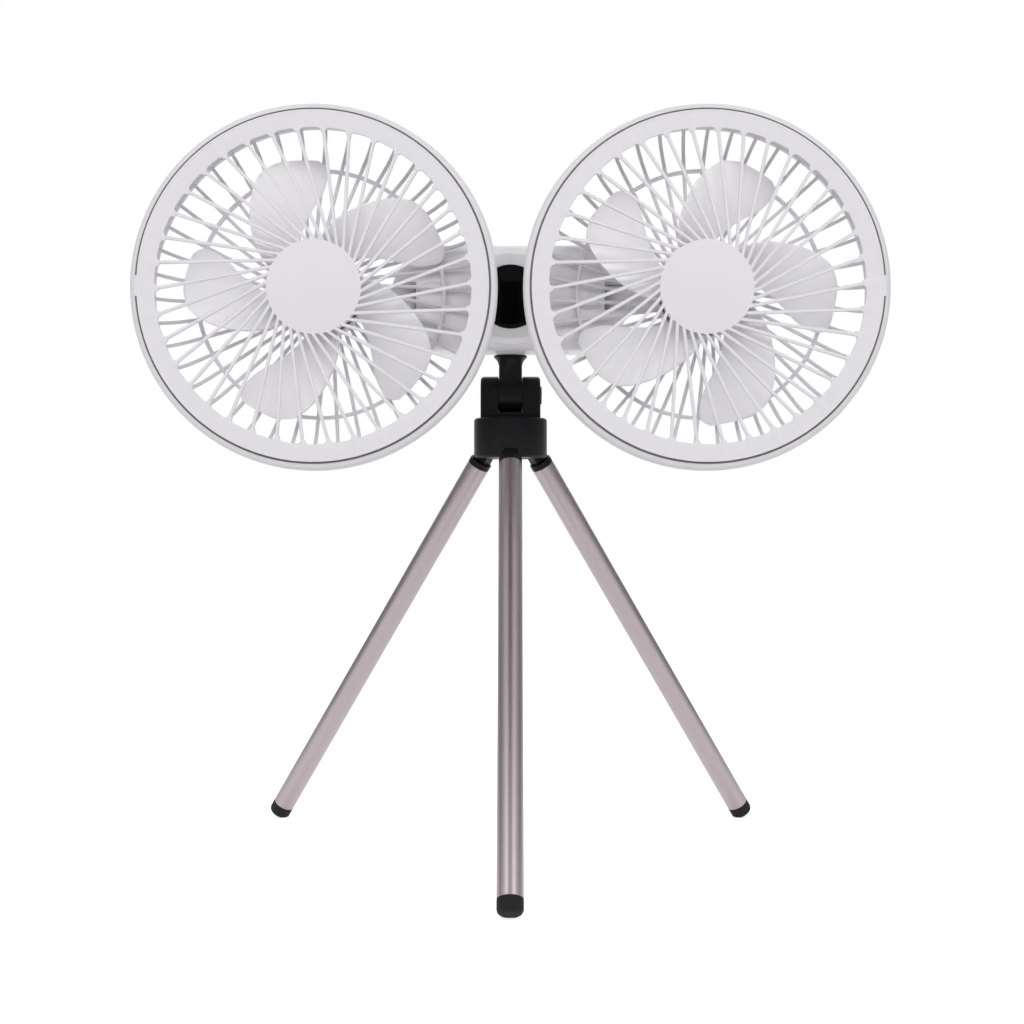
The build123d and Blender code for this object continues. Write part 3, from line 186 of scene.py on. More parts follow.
# %% Satin anodised aluminium
def anodised(name, pale, deep):
    """Drawn and blasted aluminium: lines along V, fine sparkle, and a coat that is a little uneven."""
    finish, tree, shader = new_finish(name, 0.4, metallic=1.0)
    place = add_node(tree, "ShaderNodeUVMap", uv_map="UVMap").outputs["UV"]
    drawn = add_node(tree, "ShaderNodeMapping", {"Vector": place, "Scale": (90.0, 3.0, 1.0)})
    lines = add_node(tree, "ShaderNodeTexNoise", {"Vector": drawn.outputs["Vector"], "Scale": 3.0, "Detail": 5.0})
    spots = add_node(
        tree, "ShaderNodeTexNoise",
        {"Vector": add_node(tree, "ShaderNodeTexCoord").outputs["Object"], "Scale": 2600.0, "Detail": 2.0},
    )
    tree.links.new(two_tones(tree, spots.outputs["Fac"], pale, deep), shader.inputs["Base Color"])
    dull = add_node(
        tree, "ShaderNodeMapRange", {"Value": lines.outputs["Fac"], "To Min": 0.3, "To Max": 0.44}
    )
    tree.links.new(dull.outputs["Result"], shader.inputs["Roughness"])
    relief = add_node(tree, "ShaderNodeBump", {"Height": spots.outputs["Fac"], "Strength": 0.12, "Distance": 0.0002})
    tree.links.new(relief.outputs["Normal"], shader.inputs["Normal"])
    return finish


anodised_aluminium = anodised("anodised_aluminium", (0.43, 0.375, 0.39, 1.0), (0.33, 0.285, 0.3, 1.0))
print("tube finish made")

# %% [markdown]
# ### Inside finishes
# Little of the inside shows, but a cut or a lifted shell would show it. Copper wire has a banded look from its turns,
# the board has a dark green coat over a faint pattern of tracks, and the cells wear a glossy wrap.

# %% Wire, board and cell wrap
def banded(name, pale, deep, turns, roughness, metallic=0.0):
    """A finish with even bands along Y, as turns of wire or tracks on a board."""
    finish, tree, shader = new_finish(name, roughness, metallic)
    place = add_node(tree, "ShaderNodeTexCoord").outputs["Object"]
    bands = add_node(
        tree, "ShaderNodeTexWave", {"Vector": place, "Scale": turns, "Distortion": 0.6, "Detail": 2.0},
        bands_direction="Y",
    )
    tree.links.new(two_tones(tree, bands.outputs["Fac"], pale, deep), shader.inputs["Base Color"])
    relief = add_node(tree, "ShaderNodeBump", {"Height": bands.outputs["Fac"], "Strength": 0.4, "Distance": 0.0003})
    tree.links.new(relief.outputs["Normal"], shader.inputs["Normal"])
    return finish


copper = banded("copper", (0.6, 0.24, 0.1, 1.0), (0.32, 0.1, 0.05, 1.0), 900.0, 0.3, metallic=1.0)
board_green = banded("board_green", (0.01, 0.11, 0.045, 1.0), (0.006, 0.07, 0.03, 1.0), 160.0, 0.35)
cell_wrap = grained("cell_wrap", (0.03, 0.12, 0.36, 1.0), (0.025, 0.1, 0.3, 1.0), 0.25)
FINISHES = {
    "white_plastic": white_plastic, "black_plastic": black_plastic, "black_gloss": black_gloss,
    "anodised_aluminium": anodised_aluminium, "black_rubber": black_rubber, "steel": steel, "dark_steel": dark_steel,
    "brass": brass, "copper": copper, "magnet": magnet, "board_green": board_green, "cell_wrap": cell_wrap,
    "clear_light": clear_light,
}
print("finishes by slot:", {slot: finish.name for slot, finish in FINISHES.items()})

# %% [markdown]
# ## Turned pieces
# Rims, rings, discs and tubes are all a flat outline turned round a line, as on a lathe. A mesh of our own is better
# here than a primitive: the outline can have a rounded corner wherever the real edge is rounded, and light catches on
# those. First a helper rounds the corners of an outline, then another one turns it.

# %% Rounding an outline's corners
def rounded(points, radius, steps=3):
    """The closed outline with a small arc at each corner that isn't on the axis; short sides limit it."""
    outline = []
    for n, here in enumerate(points):
        if here[0] == 0.0:
            outline.append(Vector(here))
            continue
        before = Vector(points[n - 1]) - Vector(here)
        after = Vector(points[(n + 1) % len(points)]) - Vector(here)
        reach = min(radius, before.length * 0.45, after.length * 0.45)
        start = Vector(here) + before.normalized() * reach
        end = Vector(here) + after.normalized() * reach
        for k in range(steps + 1):
            t = k / steps
            outline.append(start * (1 - t) ** 2 + Vector(here) * 2 * t * (1 - t) + end * t**2)
    return outline


def arc(middle, radius, start, end, steps=12):
    """Points of an arc, with its angles in degrees."""
    angles = [radians(start + (end - start) * k / steps) for k in range(steps + 1)]
    return [(middle[0] + radius * cos(a), middle[1] + radius * sin(a)) for a in angles]


print("corner points of a rounded square:", len(rounded([(0, 0), (1, 0), (1, 1), (0, 1)], 0.2)))


# %% Turning an outline round a line
def smooth(mesh, angle=32.0):
    """Smooth shading, with edges left sharp where the surface turns by more than the angle."""
    mesh.shade_smooth()
    mesh.set_sharp_from_angle(angle=radians(angle))


def turned_mesh(name, outline, place, turns=160, shift=None):
    """Turns a closed outline of (radius, depth) in millimetres round a placing matrix's Z axis.

    The turns are a number of even steps or a list of angles. A shift may change a point's radius by its angle.
    """
    angles = [2 * pi * k / turns for k in range(turns)] if isinstance(turns, int) else turns
    work = bmesh.new()
    uv = work.loops.layers.uv.new("UVMap")
    rings = []
    for angle in angles:
        reaches = [r + (shift(r, angle) if shift else 0.0) for r, d in outline]
        ring = [(r * cos(angle) * MM, r * sin(angle) * MM, d * MM) for r, (_, d) in zip(reaches, outline)]
        rings.append([work.verts.new(spot) for spot in ring])
    for k, one in enumerate(rings):
        two = rings[(k + 1) % len(rings)]
        for n in range(len(outline)):
            m = (n + 1) % len(outline)
            face = work.faces.new((one[n], two[n], two[m], one[m]))
            for loop, (u, v) in zip(face.loops, ((k, n), (k + 1, n), (k + 1, m), (k, m))):
                loop[uv].uv = (u / len(rings), outline[v][1] * MM * 10)
    bmesh.ops.remove_doubles(work, verts=work.verts, dist=1e-7)
    bmesh.ops.recalc_face_normals(work, faces=work.faces)
    work.transform(place)
    mesh = bpy.data.meshes.new(name)
    work.to_mesh(mesh)
    work.free()
    smooth(mesh)
    return mesh


def piece(name, mesh, finish):
    """A new object at the origin with one finish."""
    mesh.materials.clear()
    mesh.materials.append(finish)
    made = bpy.data.objects.new(name, mesh)
    bpy.context.scene.collection.objects.link(made)
    return made


def joined(name, meshes, finish):
    """Several meshes as one piece."""
    work = bmesh.new()
    for mesh in meshes:
        work.from_mesh(mesh)
    whole = bpy.data.meshes.new(name)
    work.to_mesh(whole)
    work.free()
    smooth(whole)
    return piece(name, whole, finish)


print("turning helpers ready")

# %% [markdown]
# ## Repeating with Geometry Nodes
# Each grille is one bar repeated round the head's axis: 38 slanted bars in front, 42 nearly straight ones behind. A
# node tree suits that. It takes one straight line, bends it to the bar's path by a rule, gives it a cross-section,
# copies it round and turns all copies into real mesh. Changing one input changes every bar. Both grilles use the same
# tree: the front bars run down a shallow cone, the rear ones run flat and then turn forwards round the bowl's edge.

# %% Small helpers for the trees
def new_tree(name, inputs):
    """A geometry tree with named inputs. Gives the tree and the node that holds the inputs."""
    tree = bpy.data.node_groups.new(name, "GeometryNodeTree")
    tree.interface.new_socket("Geometry", in_out="OUTPUT", socket_type="NodeSocketGeometry")
    for title, kind in inputs:
        tree.interface.new_socket(title, in_out="INPUT", socket_type=kind)
    return tree, add_node(tree, "NodeGroupInput")


def calc(tree, operation, first, second=0.0):
    """One step of arithmetic on fields."""
    return add_node(tree, "ShaderNodeMath", {0: first, 1: second}, operation=operation).outputs[0]


def finish_tree(tree, given, geometry):
    """Real mesh, with its finish, as the tree's result."""
    real = add_node(tree, "GeometryNodeRealizeInstances", {"Geometry": geometry})
    dressed = add_node(
        tree, "GeometryNodeSetMaterial", {"Geometry": real.outputs[0], "Material": given.outputs["Finish"]}
    )
    end = add_node(tree, "NodeGroupOutput")
    tree.links.new(dressed.outputs[0], end.inputs[0])


def grow(name, tree, values):
    """Runs a tree on an empty object and keeps the result as a plain mesh, with no modifier left."""
    seed = bpy.data.objects.new(f"{name}_seed", bpy.data.meshes.new(f"{name}_seed"))
    bpy.context.scene.collection.objects.link(seed)
    modifier = seed.modifiers.new("tree", "NODES")
    modifier.node_group = tree
    for item in tree.interface.items_tree:
        if item.in_out == "INPUT":
            modifier[item.identifier] = values[item.name]
    graph = bpy.context.evaluated_depsgraph_get()
    mesh = bpy.data.meshes.new_from_object(seed.evaluated_get(graph))
    bpy.data.objects.remove(seed)
    mesh.name = name
    smooth(mesh)
    print(name, "has", len(mesh.polygons), "faces")
    return mesh


# %% Round a head's axis
def ring_of(tree, given, one, count):
    """Copies one shape round the Y axis, counted anticlockwise from the front, then moves it to the head."""
    spots = add_node(tree, "GeometryNodePoints", {"Count": count}).outputs[0]
    number = add_node(tree, "GeometryNodeInputIndex").outputs[0]
    share = calc(tree, "DIVIDE", number, count)
    angle = calc(tree, "SUBTRACT", calc(tree, "MULTIPLY", share, -2 * pi), given.outputs["First Angle"])
    spin = add_node(tree, "ShaderNodeCombineXYZ", {"Y": angle}).outputs[0]
    turn = add_node(tree, "FunctionNodeEulerToRotation", {0: spin}).outputs[0]
    copies = add_node(tree, "GeometryNodeInstanceOnPoints", {"Points": spots, "Instance": one, "Rotation": turn})
    half_turn = add_node(tree, "ShaderNodeCombineXYZ", {"Y": given.outputs["Half Turn"]}).outputs[0]
    placed = add_node(
        tree, "GeometryNodeTransform",
        {"Geometry": copies.outputs[0], "Translation": given.outputs["Centre"], "Rotation": half_turn},
    )
    return placed.outputs[0]


RING_INPUTS = [
    ("Count", "NodeSocketInt"),
    ("First Angle", "NodeSocketFloat"),
    ("Centre", "NodeSocketVector"),
    ("Half Turn", "NodeSocketFloat"),
    ("Finish", "NodeSocketMaterial"),
]
print("inputs that every ring has:", [title for title, kind in RING_INPUTS])

# %% [markdown]
# ### The path of a bar
# A bar keeps a set distance, its tangent radius, from the head's axis: that is what slants it. Its way along the
# spoke is measured as it goes: first straight from the inner to the outer radius, then round an arc of the turn
# radius. From the radius comes the height over the tangent point, by Pythagoras.

# %% The bar tree
def bar_tree():
    """Bars round an axis, as one tree for the front and the rear grille."""
    way = ["Tangent", "Sense", "Inner", "Outer", "Turn Radius", "Turn", "Depth In", "Depth Out"]
    section_sizes = ["Width", "Thickness", "Flare"]
    sizes = [(title, "NodeSocketFloat") for title in way + section_sizes]
    tree, given = new_tree("grille_bars", RING_INPUTS + sizes)
    size = given.outputs
    line = add_node(tree, "GeometryNodeCurvePrimitiveLine").outputs[0]
    steps = add_node(tree, "GeometryNodeResampleCurve", {"Curve": line, "Count": 18}).outputs[0]
    along = add_node(tree, "GeometryNodeSplineParameter").outputs["Factor"]
    straight = calc(tree, "SUBTRACT", size["Outer"], size["Inner"])
    bent = calc(tree, "MULTIPLY", size["Turn"], size["Turn Radius"])
    gone = calc(tree, "MULTIPLY", along, calc(tree, "ADD", straight, bent))
    flat = calc(tree, "MINIMUM", gone, straight)
    bend = calc(tree, "DIVIDE", calc(tree, "SUBTRACT", gone, flat), size["Turn Radius"])
    reach = calc(tree, "MULTIPLY", calc(tree, "SINE", bend), size["Turn Radius"])
    radius = calc(tree, "ADD", calc(tree, "ADD", size["Inner"], flat), reach)
    squares = calc(tree, "SUBTRACT", calc(tree, "POWER", radius, 2.0), calc(tree, "POWER", size["Tangent"], 2.0))
    height = calc(tree, "MULTIPLY", calc(tree, "SQRT", squares), size["Sense"])
    slope = calc(tree, "DIVIDE", calc(tree, "SUBTRACT", size["Depth Out"], size["Depth In"]), straight)
    sunk = calc(tree, "ADD", size["Depth In"], calc(tree, "MULTIPLY", slope, flat))
    rise = calc(tree, "MULTIPLY", calc(tree, "SUBTRACT", 1.0, calc(tree, "COSINE", bend)), size["Turn Radius"])
    depth = calc(tree, "SUBTRACT", sunk, rise)
    spot = add_node(tree, "ShaderNodeCombineXYZ", {"X": size["Tangent"], "Y": depth, "Z": height})
    path = add_node(tree, "GeometryNodeSetPosition", {"Geometry": steps, "Position": spot.outputs[0]}).outputs[0]
    level = add_node(tree, "GeometryNodeSetCurveNormal", {"Curve": path, "Normal": (1.0, 0.0, 0.0)}, mode="FREE")
    flare = calc(tree, "MULTIPLY", calc(tree, "POWER", along, 3.0), size["Flare"])
    flared = add_node(
        tree, "GeometryNodeSetCurveRadius", {"Curve": level.outputs[0], "Radius": calc(tree, "ADD", flare, 1.0)}
    )
    block = add_node(
        tree, "GeometryNodeCurvePrimitiveQuadrilateral", {"Width": size["Width"], "Height": size["Thickness"]}
    )
    corner = calc(tree, "MULTIPLY", calc(tree, "MINIMUM", size["Width"], size["Thickness"]), 0.32)
    section = add_node(
        tree, "GeometryNodeFilletCurve", {"Curve": block.outputs[0], "Radius": corner, "Count": 3}, mode="POLY"
    )
    bar = add_node(
        tree, "GeometryNodeCurveToMesh",
        {"Curve": flared.outputs[0], "Profile Curve": section.outputs[0], "Fill Caps": True},
    )
    finish_tree(tree, given, ring_of(tree, given, bar.outputs[0], size["Count"]))
    return tree


bars = bar_tree()
print("nodes in the bar tree:", len(bars.nodes))

# %% [markdown]
# ## The front grilles
# A front grille is one moulding: slanted bars, a plain disc in the middle that lies a little behind the front, and a
# flat bezel with a thin raised edge. Bars, disc and bezel overlap as closed shells, so they read as one piece. A
# moulder rounds the corners of every opening, so that the plastic flows and nothing cracks there. The bezel's inner
# edge therefore isn't a plain circle: near each bar it comes inwards by a small arc. Its outer edge isn't one either:
# at the head's outer side a tab bridges the parting line to the rim.

# %% Sizes of the front grille
BEZEL_OUT, BEZEL_IN, BEZEL_BACK = 82.0, 73.8, 2.4
SKIRT_OUT, SKIRT_IN, SKIRT_END = 80.5, 79.0, 8.0
DISC_RADIUS, DISC_DEPTH, DISC_WALL = 22.2, 3.0, 1.8
DISC_OVERLAP, BEZEL_OVERLAP = 2.0, 1.7
BAR_END_ANGLE, CORNER = 1.0, 1.9
TAB_WIDTH, TAB_REACH = 9.5, 0.95
TAB_HALF = TAB_WIDTH / 2 / BEZEL_OUT
TAB_ENDS = [side * (TAB_HALF + gap) for side in (1, -1) for gap in (0.0, 0.0008)]
FRONT_BARS = {
    "Count": 38, "Tangent": 12.9 * MM, "Sense": 1.0, "Inner": (DISC_RADIUS - DISC_OVERLAP) * MM,
    "Outer": (BEZEL_IN + BEZEL_OVERLAP) * MM, "Turn Radius": 1.0 * MM, "Turn": 0.0,
    "Depth In": (DISC_DEPTH + DISC_WALL / 2) * MM, "Depth Out": 1.6 * MM,
    "Width": 1.6 * MM, "Thickness": 1.7 * MM, "Flare": 0.3,
}
BEZEL = [
    (BEZEL_IN, 0.75), (BEZEL_OUT - 1.3, 0.3), (BEZEL_OUT - 0.8, 0.0), (BEZEL_OUT, 0.0), (BEZEL_OUT, 2.3),
    (SKIRT_OUT, 2.3), (SKIRT_OUT, SKIRT_END), (SKIRT_IN, SKIRT_END), (SKIRT_IN, BEZEL_BACK), (BEZEL_IN, BEZEL_BACK),
]
DISC_BACK = DISC_DEPTH + DISC_WALL
DISC = [(0.0, DISC_DEPTH), (DISC_RADIUS, DISC_DEPTH), (DISC_RADIUS, DISC_BACK), (0.0, DISC_BACK)]


def bar_lead(outer, tangent):
    """How far round a bar turns between its tangent point and its outer end, in degrees."""
    return atan2(sqrt(outer**2 - tangent**2), tangent) * 180 / pi


front_phase = BAR_END_ANGLE - bar_lead(BEZEL_IN * MM, FRONT_BARS["Tangent"])
print("a front bar turns", round(bar_lead(BEZEL_IN * MM, FRONT_BARS["Tangent"]), 1), "degrees on its way out")


# %% Rounded corners of the openings, and the tab
PITCH = 2 * pi / FRONT_BARS["Count"]
HALF_BAR = FRONT_BARS["Width"] / MM * (1 + FRONT_BARS["Flare"]) / 2


def corner_turns():
    """The angles at which the bezel needs a row of points: close together at every corner, few between."""
    away = [HALF_BAR + CORNER * share for share in (0.0, 0.1, 0.3, 0.6, 1.0)] + [HALF_BAR + CORNER + 1.2]
    offsets = sorted([0.0] + [sign * gap / BEZEL_IN for gap in away for sign in (1, -1)])
    starts = [PITCH * n - radians(BAR_END_ANGLE) for n in range(FRONT_BARS["Count"])]
    return sorted([start + offset for start in starts for offset in offsets] + TAB_ENDS)


def bezel_shift(radius, angle):
    """How far the bezel's edges move at an angle, in millimetres.

    The outer edge moves outwards at the tab, and the inner edge inwards near each bar.
    """
    if radius > BEZEL_OUT - 1.35:
        return TAB_REACH if abs(angle) <= TAB_HALF else 0.0
    if radius > BEZEL_IN + 0.5:
        return 0.0
    from_bar = abs((angle + radians(BAR_END_ANGLE) + PITCH / 2) % PITCH - PITCH / 2) * BEZEL_IN - HALF_BAR
    left = min(max(CORNER - from_bar, 0.0), CORNER)
    return sqrt(CORNER**2 - left**2) - CORNER


print("rows of points round the bezel:", len(corner_turns()))


# %% Placing a shape on a head
def head_matrix(name):
    """Places a shape made round Z, with depth along Z, on a head: X points outwards from the body."""
    origin = HEADS[name]
    side = SIDES[name]
    axes = Matrix(((side, 0, 0), (0, 0, 1), (0, -side, 0))).to_4x4()
    return Matrix.Translation(origin) @ axes


print("outwards on the left head:", [round(v) for v in head_matrix("left").col[0].xyz])


# %% One front grille
def front_grille(name):
    """Bars, disc, bezel and tab of one head's front grille."""
    place = head_matrix(name)
    ring = dict(FRONT_BARS, Centre=HEADS[name], Finish=white_plastic)
    ring["First Angle"] = radians(front_phase)
    ring["Half Turn"] = 0.0 if SIDES[name] > 0 else pi
    shapes = [
        grow(f"front_bars_{name}", bars, ring),
        turned_mesh(f"bezel_{name}", rounded(BEZEL, 0.3), place, turns=corner_turns(), shift=bezel_shift),
        turned_mesh(f"centre_disc_{name}", rounded(DISC, 0.5), place, turns=120),
    ]
    made = joined(f"front_grille_{name}_dressed", shapes, white_plastic)
    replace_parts(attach(made, f"head_{name}"), f"front_grille_{name}")
    return made


for side_name in SIDES:
    print(front_grille(side_name).name, "made")

# %% [markdown]
# ## The rear housings
# Behind the fan lies a bowl of 42 thin bars with one ring across them. The bars run flat from the motor's pod and
# then turn forwards into a solid band, which carries on as the rim. The rim's front edge rolls inwards to the dark
# parting line. Rim and band are one turned outline, and the bars end inside its wall.

# %% Sizes of the rear housing
HEAD_DEPTH, BOWL_RADIUS, BOWL_TURN, BOWL_WALL = 32.5, 83.0, 17.0, 2.2
POD_RADIUS, POD_WALL, POD_FRONT, POD_OVERLAP = 22.2, 1.4, 23.0, 1.5
BAND_FROM, REAR_PHASE = 78.6, 2.7
BOWL_MIDDLE = (BOWL_RADIUS - BOWL_TURN, HEAD_DEPTH - BOWL_TURN)
REAR_BARS = {
    "Count": 42, "Tangent": 5.0 * MM, "Sense": -1.0, "Inner": (POD_RADIUS - POD_OVERLAP) * MM,
    "Outer": BOWL_MIDDLE[0] * MM,
    "Turn Radius": (BOWL_TURN - BOWL_WALL / 2) * MM, "Turn": radians(66.0),
    "Depth In": (HEAD_DEPTH - BOWL_WALL / 2) * MM, "Depth Out": (HEAD_DEPTH - BOWL_WALL / 2) * MM,
    "Width": 1.7 * MM, "Thickness": 2.0 * MM, "Flare": 0.0, "First Angle": radians(REAR_PHASE),
}
RIM_RADIUS, RIM_INSIDE, RIM_EDGE, RIM_FRONT, RIM_LIP = 86.0, 80.8, 82.92, 1.0, 2.8
ROLL_MIDDLE, ROLL_RADIUS = (81.9, 5.55), 4.1


def band_end(radius):
    """The angle at which an arc round the bowl's bend reaches the band's inner edge, in degrees."""
    across = BAND_FROM - BOWL_MIDDLE[0]
    return atan2(sqrt(radius**2 - across**2), across) * 180 / pi


OUTSIDE = arc(BOWL_MIDDLE, BOWL_TURN, 4.0, band_end(BOWL_TURN), 7)
INSIDE = arc(BOWL_MIDDLE, BOWL_TURN - BOWL_WALL, band_end(BOWL_TURN - BOWL_WALL), 0.0, 6)
RIM = [(RIM_EDGE, RIM_FRONT)] + arc(ROLL_MIDDLE, ROLL_RADIUS, -70, 0, 8) + [(RIM_RADIUS, 9.0)] + OUTSIDE + INSIDE + [
    (RIM_INSIDE, RIM_LIP), (82.9, RIM_LIP),
]
RING_IN, RING_OUT, BACK_FRONT = 58.8, 60.7, HEAD_DEPTH - BOWL_WALL
REAR_RING = [(RING_IN, BACK_FRONT), (RING_OUT, BACK_FRONT), (RING_OUT, HEAD_DEPTH), (RING_IN, HEAD_DEPTH)]
POD_IN = POD_RADIUS - POD_WALL
POD = [
    (0.0, HEAD_DEPTH), (0.0, BACK_FRONT), (POD_IN, BACK_FRONT), (POD_IN, POD_FRONT), (POD_RADIUS, POD_FRONT),
    (POD_RADIUS, HEAD_DEPTH),
]
print("rear bars:", REAR_BARS["Count"], "and a band from", BAND_FROM, "mm")


# %% One rear housing
def rear_housing(name):
    """Rim and band, bowl bars, ring and pod of one head."""
    place = head_matrix(name)
    ring = dict(REAR_BARS, Centre=HEADS[name], Finish=white_plastic)
    ring["Half Turn"] = 0.0 if SIDES[name] > 0 else pi
    shapes = [
        grow(f"rear_bars_{name}", bars, ring),
        turned_mesh(f"rim_{name}", rounded(RIM, 0.3), place, turns=240),
        turned_mesh(f"rear_ring_{name}", rounded(REAR_RING, 0.6), place, turns=200),
        turned_mesh(f"pod_{name}", rounded(POD, 0.7), place, turns=120),
    ]
    made = joined(f"rear_housing_{name}_dressed", shapes, white_plastic)
    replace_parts(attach(made, f"head_{name}"), f"rear_housing_{name}")
    return made


for side_name in SIDES:
    print(rear_housing(side_name).name, "made")

# %% [markdown]
# The line between bezel and rim is darker than a gap between two white walls would be: light bounces in such a gap. So
# a thin dark ring is laid in it as painted shade. It stands for the shadow in the parting line, not for a part of the
# fan. Where the tab bridges the line, the ring dips under the bezel.

# %% Rings of painted shade in the parting lines
SHADE_RING_IN, SHADE_RING_OUT, SHADE_RING_FRONT, SHADE_RING_BACK = 81.95, 82.95, 1.25, 2.1
SHADE_RING_DIP, SHADE_RING_STEPS = 2.0, 240
SHADE_RING = [(SHADE_RING_IN, SHADE_RING_FRONT), (SHADE_RING_OUT, SHADE_RING_FRONT), (SHADE_RING_OUT, SHADE_RING_BACK), (SHADE_RING_IN, SHADE_RING_BACK)]


def shade_ring_shift(radius, angle):
    """How far the shade ring moves at an angle, in millimetres: inwards under the tab."""
    return -SHADE_RING_DIP if abs(angle) <= TAB_HALF else 0.0


def parting_shade_ring(name):
    """A thin dark ring between the bezel and the rim of one head, as painted shade for the parting line."""
    turns = sorted([2 * pi * k / SHADE_RING_STEPS - pi for k in range(SHADE_RING_STEPS)] + TAB_ENDS)
    mesh = turned_mesh(f"parting_seal_{name}", rounded(SHADE_RING, 0.1), head_matrix(name), turns=turns, shift=shade_ring_shift)
    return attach(piece(mesh.name, mesh, seal_rubber), f"head_{name}")


for side_name in SIDES:
    print(parting_shade_ring(side_name).name, "made")

# %% [markdown]
# ## The fans
# Each fan has five wide thin blades round a cup that hides the motor. A blade is a sheet that follows a rule: at each
# radius it runs between a leading and a trailing angle and leans by a pitch that eases towards the tip. One blade is
# made as a grid of points by that rule, given a thickness, and a small tree copies it round the hub.

# %% One blade
HUB_RADIUS, HUB_FRONT, HUB_BACK, HUB_WALL = 20.4, 7.6, 21.6, 1.6
BLADE_DEPTH, BLADE_TIP, BLADE_WALL, BLADE_EDGE, BLADE_CROWN = 16.0, 63.8, 1.5, 0.55, 0.6
BLADE_ROWS, BLADE_COLUMNS, ROOT_OVERLAP, PITCH_END = 26, 18, 0.8, 65.6
BLADE_SPOKE, ROOT_PITCH, TIP_PITCH = 14.0, 34.0, 20.0
LEAD_EDGE = [(19.6, 13.0), (30.0, 0.5), (38.9, -8.5), (47.4, -15.0), (56.9, -17.0), (61.5, -15.8), (63.8, -12.5)]
TRAIL_EDGE = [(19.6, 56.0), (38.0, 36.5), (45.5, 29.0), (53.6, 21.5), (59.8, 15.0), (62.6, 10.5), (63.8, 4.0)]
BLADE_PHASE = {"right": -1.5, "left": -4.5}


def at_radius(table, radius):
    """A value between the rows of a short table, eased by a smooth curve through them."""
    if radius <= table[0][0]:
        return table[0][1]
    for n in range(len(table) - 1):
        (r0, v0), (r1, v1) = table[n], table[n + 1]
        if radius <= r1:
            before = table[n - 1] if n else (2 * r0 - r1, 2 * v0 - v1)
            after = table[n + 2] if n + 2 < len(table) else (2 * r1 - r0, 2 * v1 - v0)
            t = (radius - r0) / (r1 - r0)
            m0 = (v1 - before[1]) / (r1 - before[0]) * (r1 - r0)
            m1 = (after[1] - v0) / (after[0] - r0) * (r1 - r0)
            start = (v0 * (1 + 2 * t) + m0 * t) * (1 - t) ** 2
            return start + (v1 * (3 - 2 * t) + m1 * (t - 1)) * t**2
    return table[-1][1]


def blade_point(radius, angle, crown):
    """A point of the blade at a radius and an angle from its tip direction. Y points down, Z backwards."""
    along = radius * cos(radians(angle - BLADE_SPOKE))
    offset = radius * sin(radians(angle - BLADE_SPOKE))
    share = (along - HUB_RADIUS / 2) / (PITCH_END - HUB_RADIUS / 2)
    rise = sin(radians(ROOT_PITCH)) * (1 - share) + sin(radians(TIP_PITCH)) * share
    run = cos(radians(ROOT_PITCH)) * (1 - share) + cos(radians(TIP_PITCH)) * share
    depth = BLADE_DEPTH - offset * rise / run - crown
    return Vector((radius * cos(radians(angle)), -radius * sin(radians(angle)), depth)) * MM


def blade_mesh(name):
    """One blade's sheet, with X along its tip direction. Its rows lie closer together towards the tip."""
    work = bmesh.new()
    grid = []
    for k in range(BLADE_ROWS + 1):
        share = 1 - (1 - k / BLADE_ROWS) ** 1.35
        radius = HUB_RADIUS - ROOT_OVERLAP + (BLADE_TIP - HUB_RADIUS + ROOT_OVERLAP) * share
        lead, trail = at_radius(LEAD_EDGE, radius), at_radius(TRAIL_EDGE, radius)
        row = []
        for n in range(BLADE_COLUMNS + 1):
            crown = BLADE_CROWN * sin(pi * n / BLADE_COLUMNS)
            angle = lead + (trail - lead) * n / BLADE_COLUMNS
            row.append(work.verts.new(blade_point(radius, angle, crown)))
        grid.append(row)
    for one, two in zip(grid, grid[1:]):
        for n in range(BLADE_COLUMNS):
            work.faces.new((one[n], one[n + 1], two[n + 1], two[n]))
    bmesh.ops.recalc_face_normals(work, faces=work.faces)
    mesh = bpy.data.meshes.new(name)
    work.to_mesh(mesh)
    work.free()
    return mesh


def solid_blade():
    """The blade sheet with its thickness and rounded edges, as an object that the tree can copy."""
    sheet = piece("blade_pattern", blade_mesh("blade_pattern"), white_plastic)
    wall = sheet.modifiers.new("wall", "SOLIDIFY")
    wall.thickness = BLADE_WALL * MM
    wall.offset = 0.0
    edge = sheet.modifiers.new("edge", "BEVEL")
    edge.width = BLADE_EDGE * MM
    edge.segments = 2
    edge.angle_limit = radians(50)
    return sheet


blade_pattern = solid_blade()
print("blade faces before its wall:", len(blade_pattern.data.polygons))

# %% [markdown]
# The tree that copies the blade takes the pattern object's own geometry, with its modifiers, so the blade's shape and
# the number of blades stay separate choices.

# %% Blades round the hub
def blade_tree():
    """Copies of a pattern object round a head's axis."""
    tree, given = new_tree("fan_blades", RING_INPUTS + [("Pattern", "NodeSocketObject")])
    pattern = add_node(tree, "GeometryNodeObjectInfo", {"Object": given.outputs["Pattern"]}).outputs["Geometry"]
    upright = add_node(
        tree, "GeometryNodeTransform", {"Geometry": pattern, "Rotation": (-pi / 2, 0.0, 0.0)}
    ).outputs[0]
    finish_tree(tree, given, ring_of(tree, given, upright, given.outputs["Count"]))
    return tree


HUB = [
    (0.0, HUB_FRONT), (HUB_RADIUS, HUB_FRONT), (HUB_RADIUS, HUB_BACK), (HUB_RADIUS - HUB_WALL, HUB_BACK),
    (HUB_RADIUS - HUB_WALL, HUB_FRONT + HUB_WALL), (0.0, HUB_FRONT + HUB_WALL),
]
blades = blade_tree()


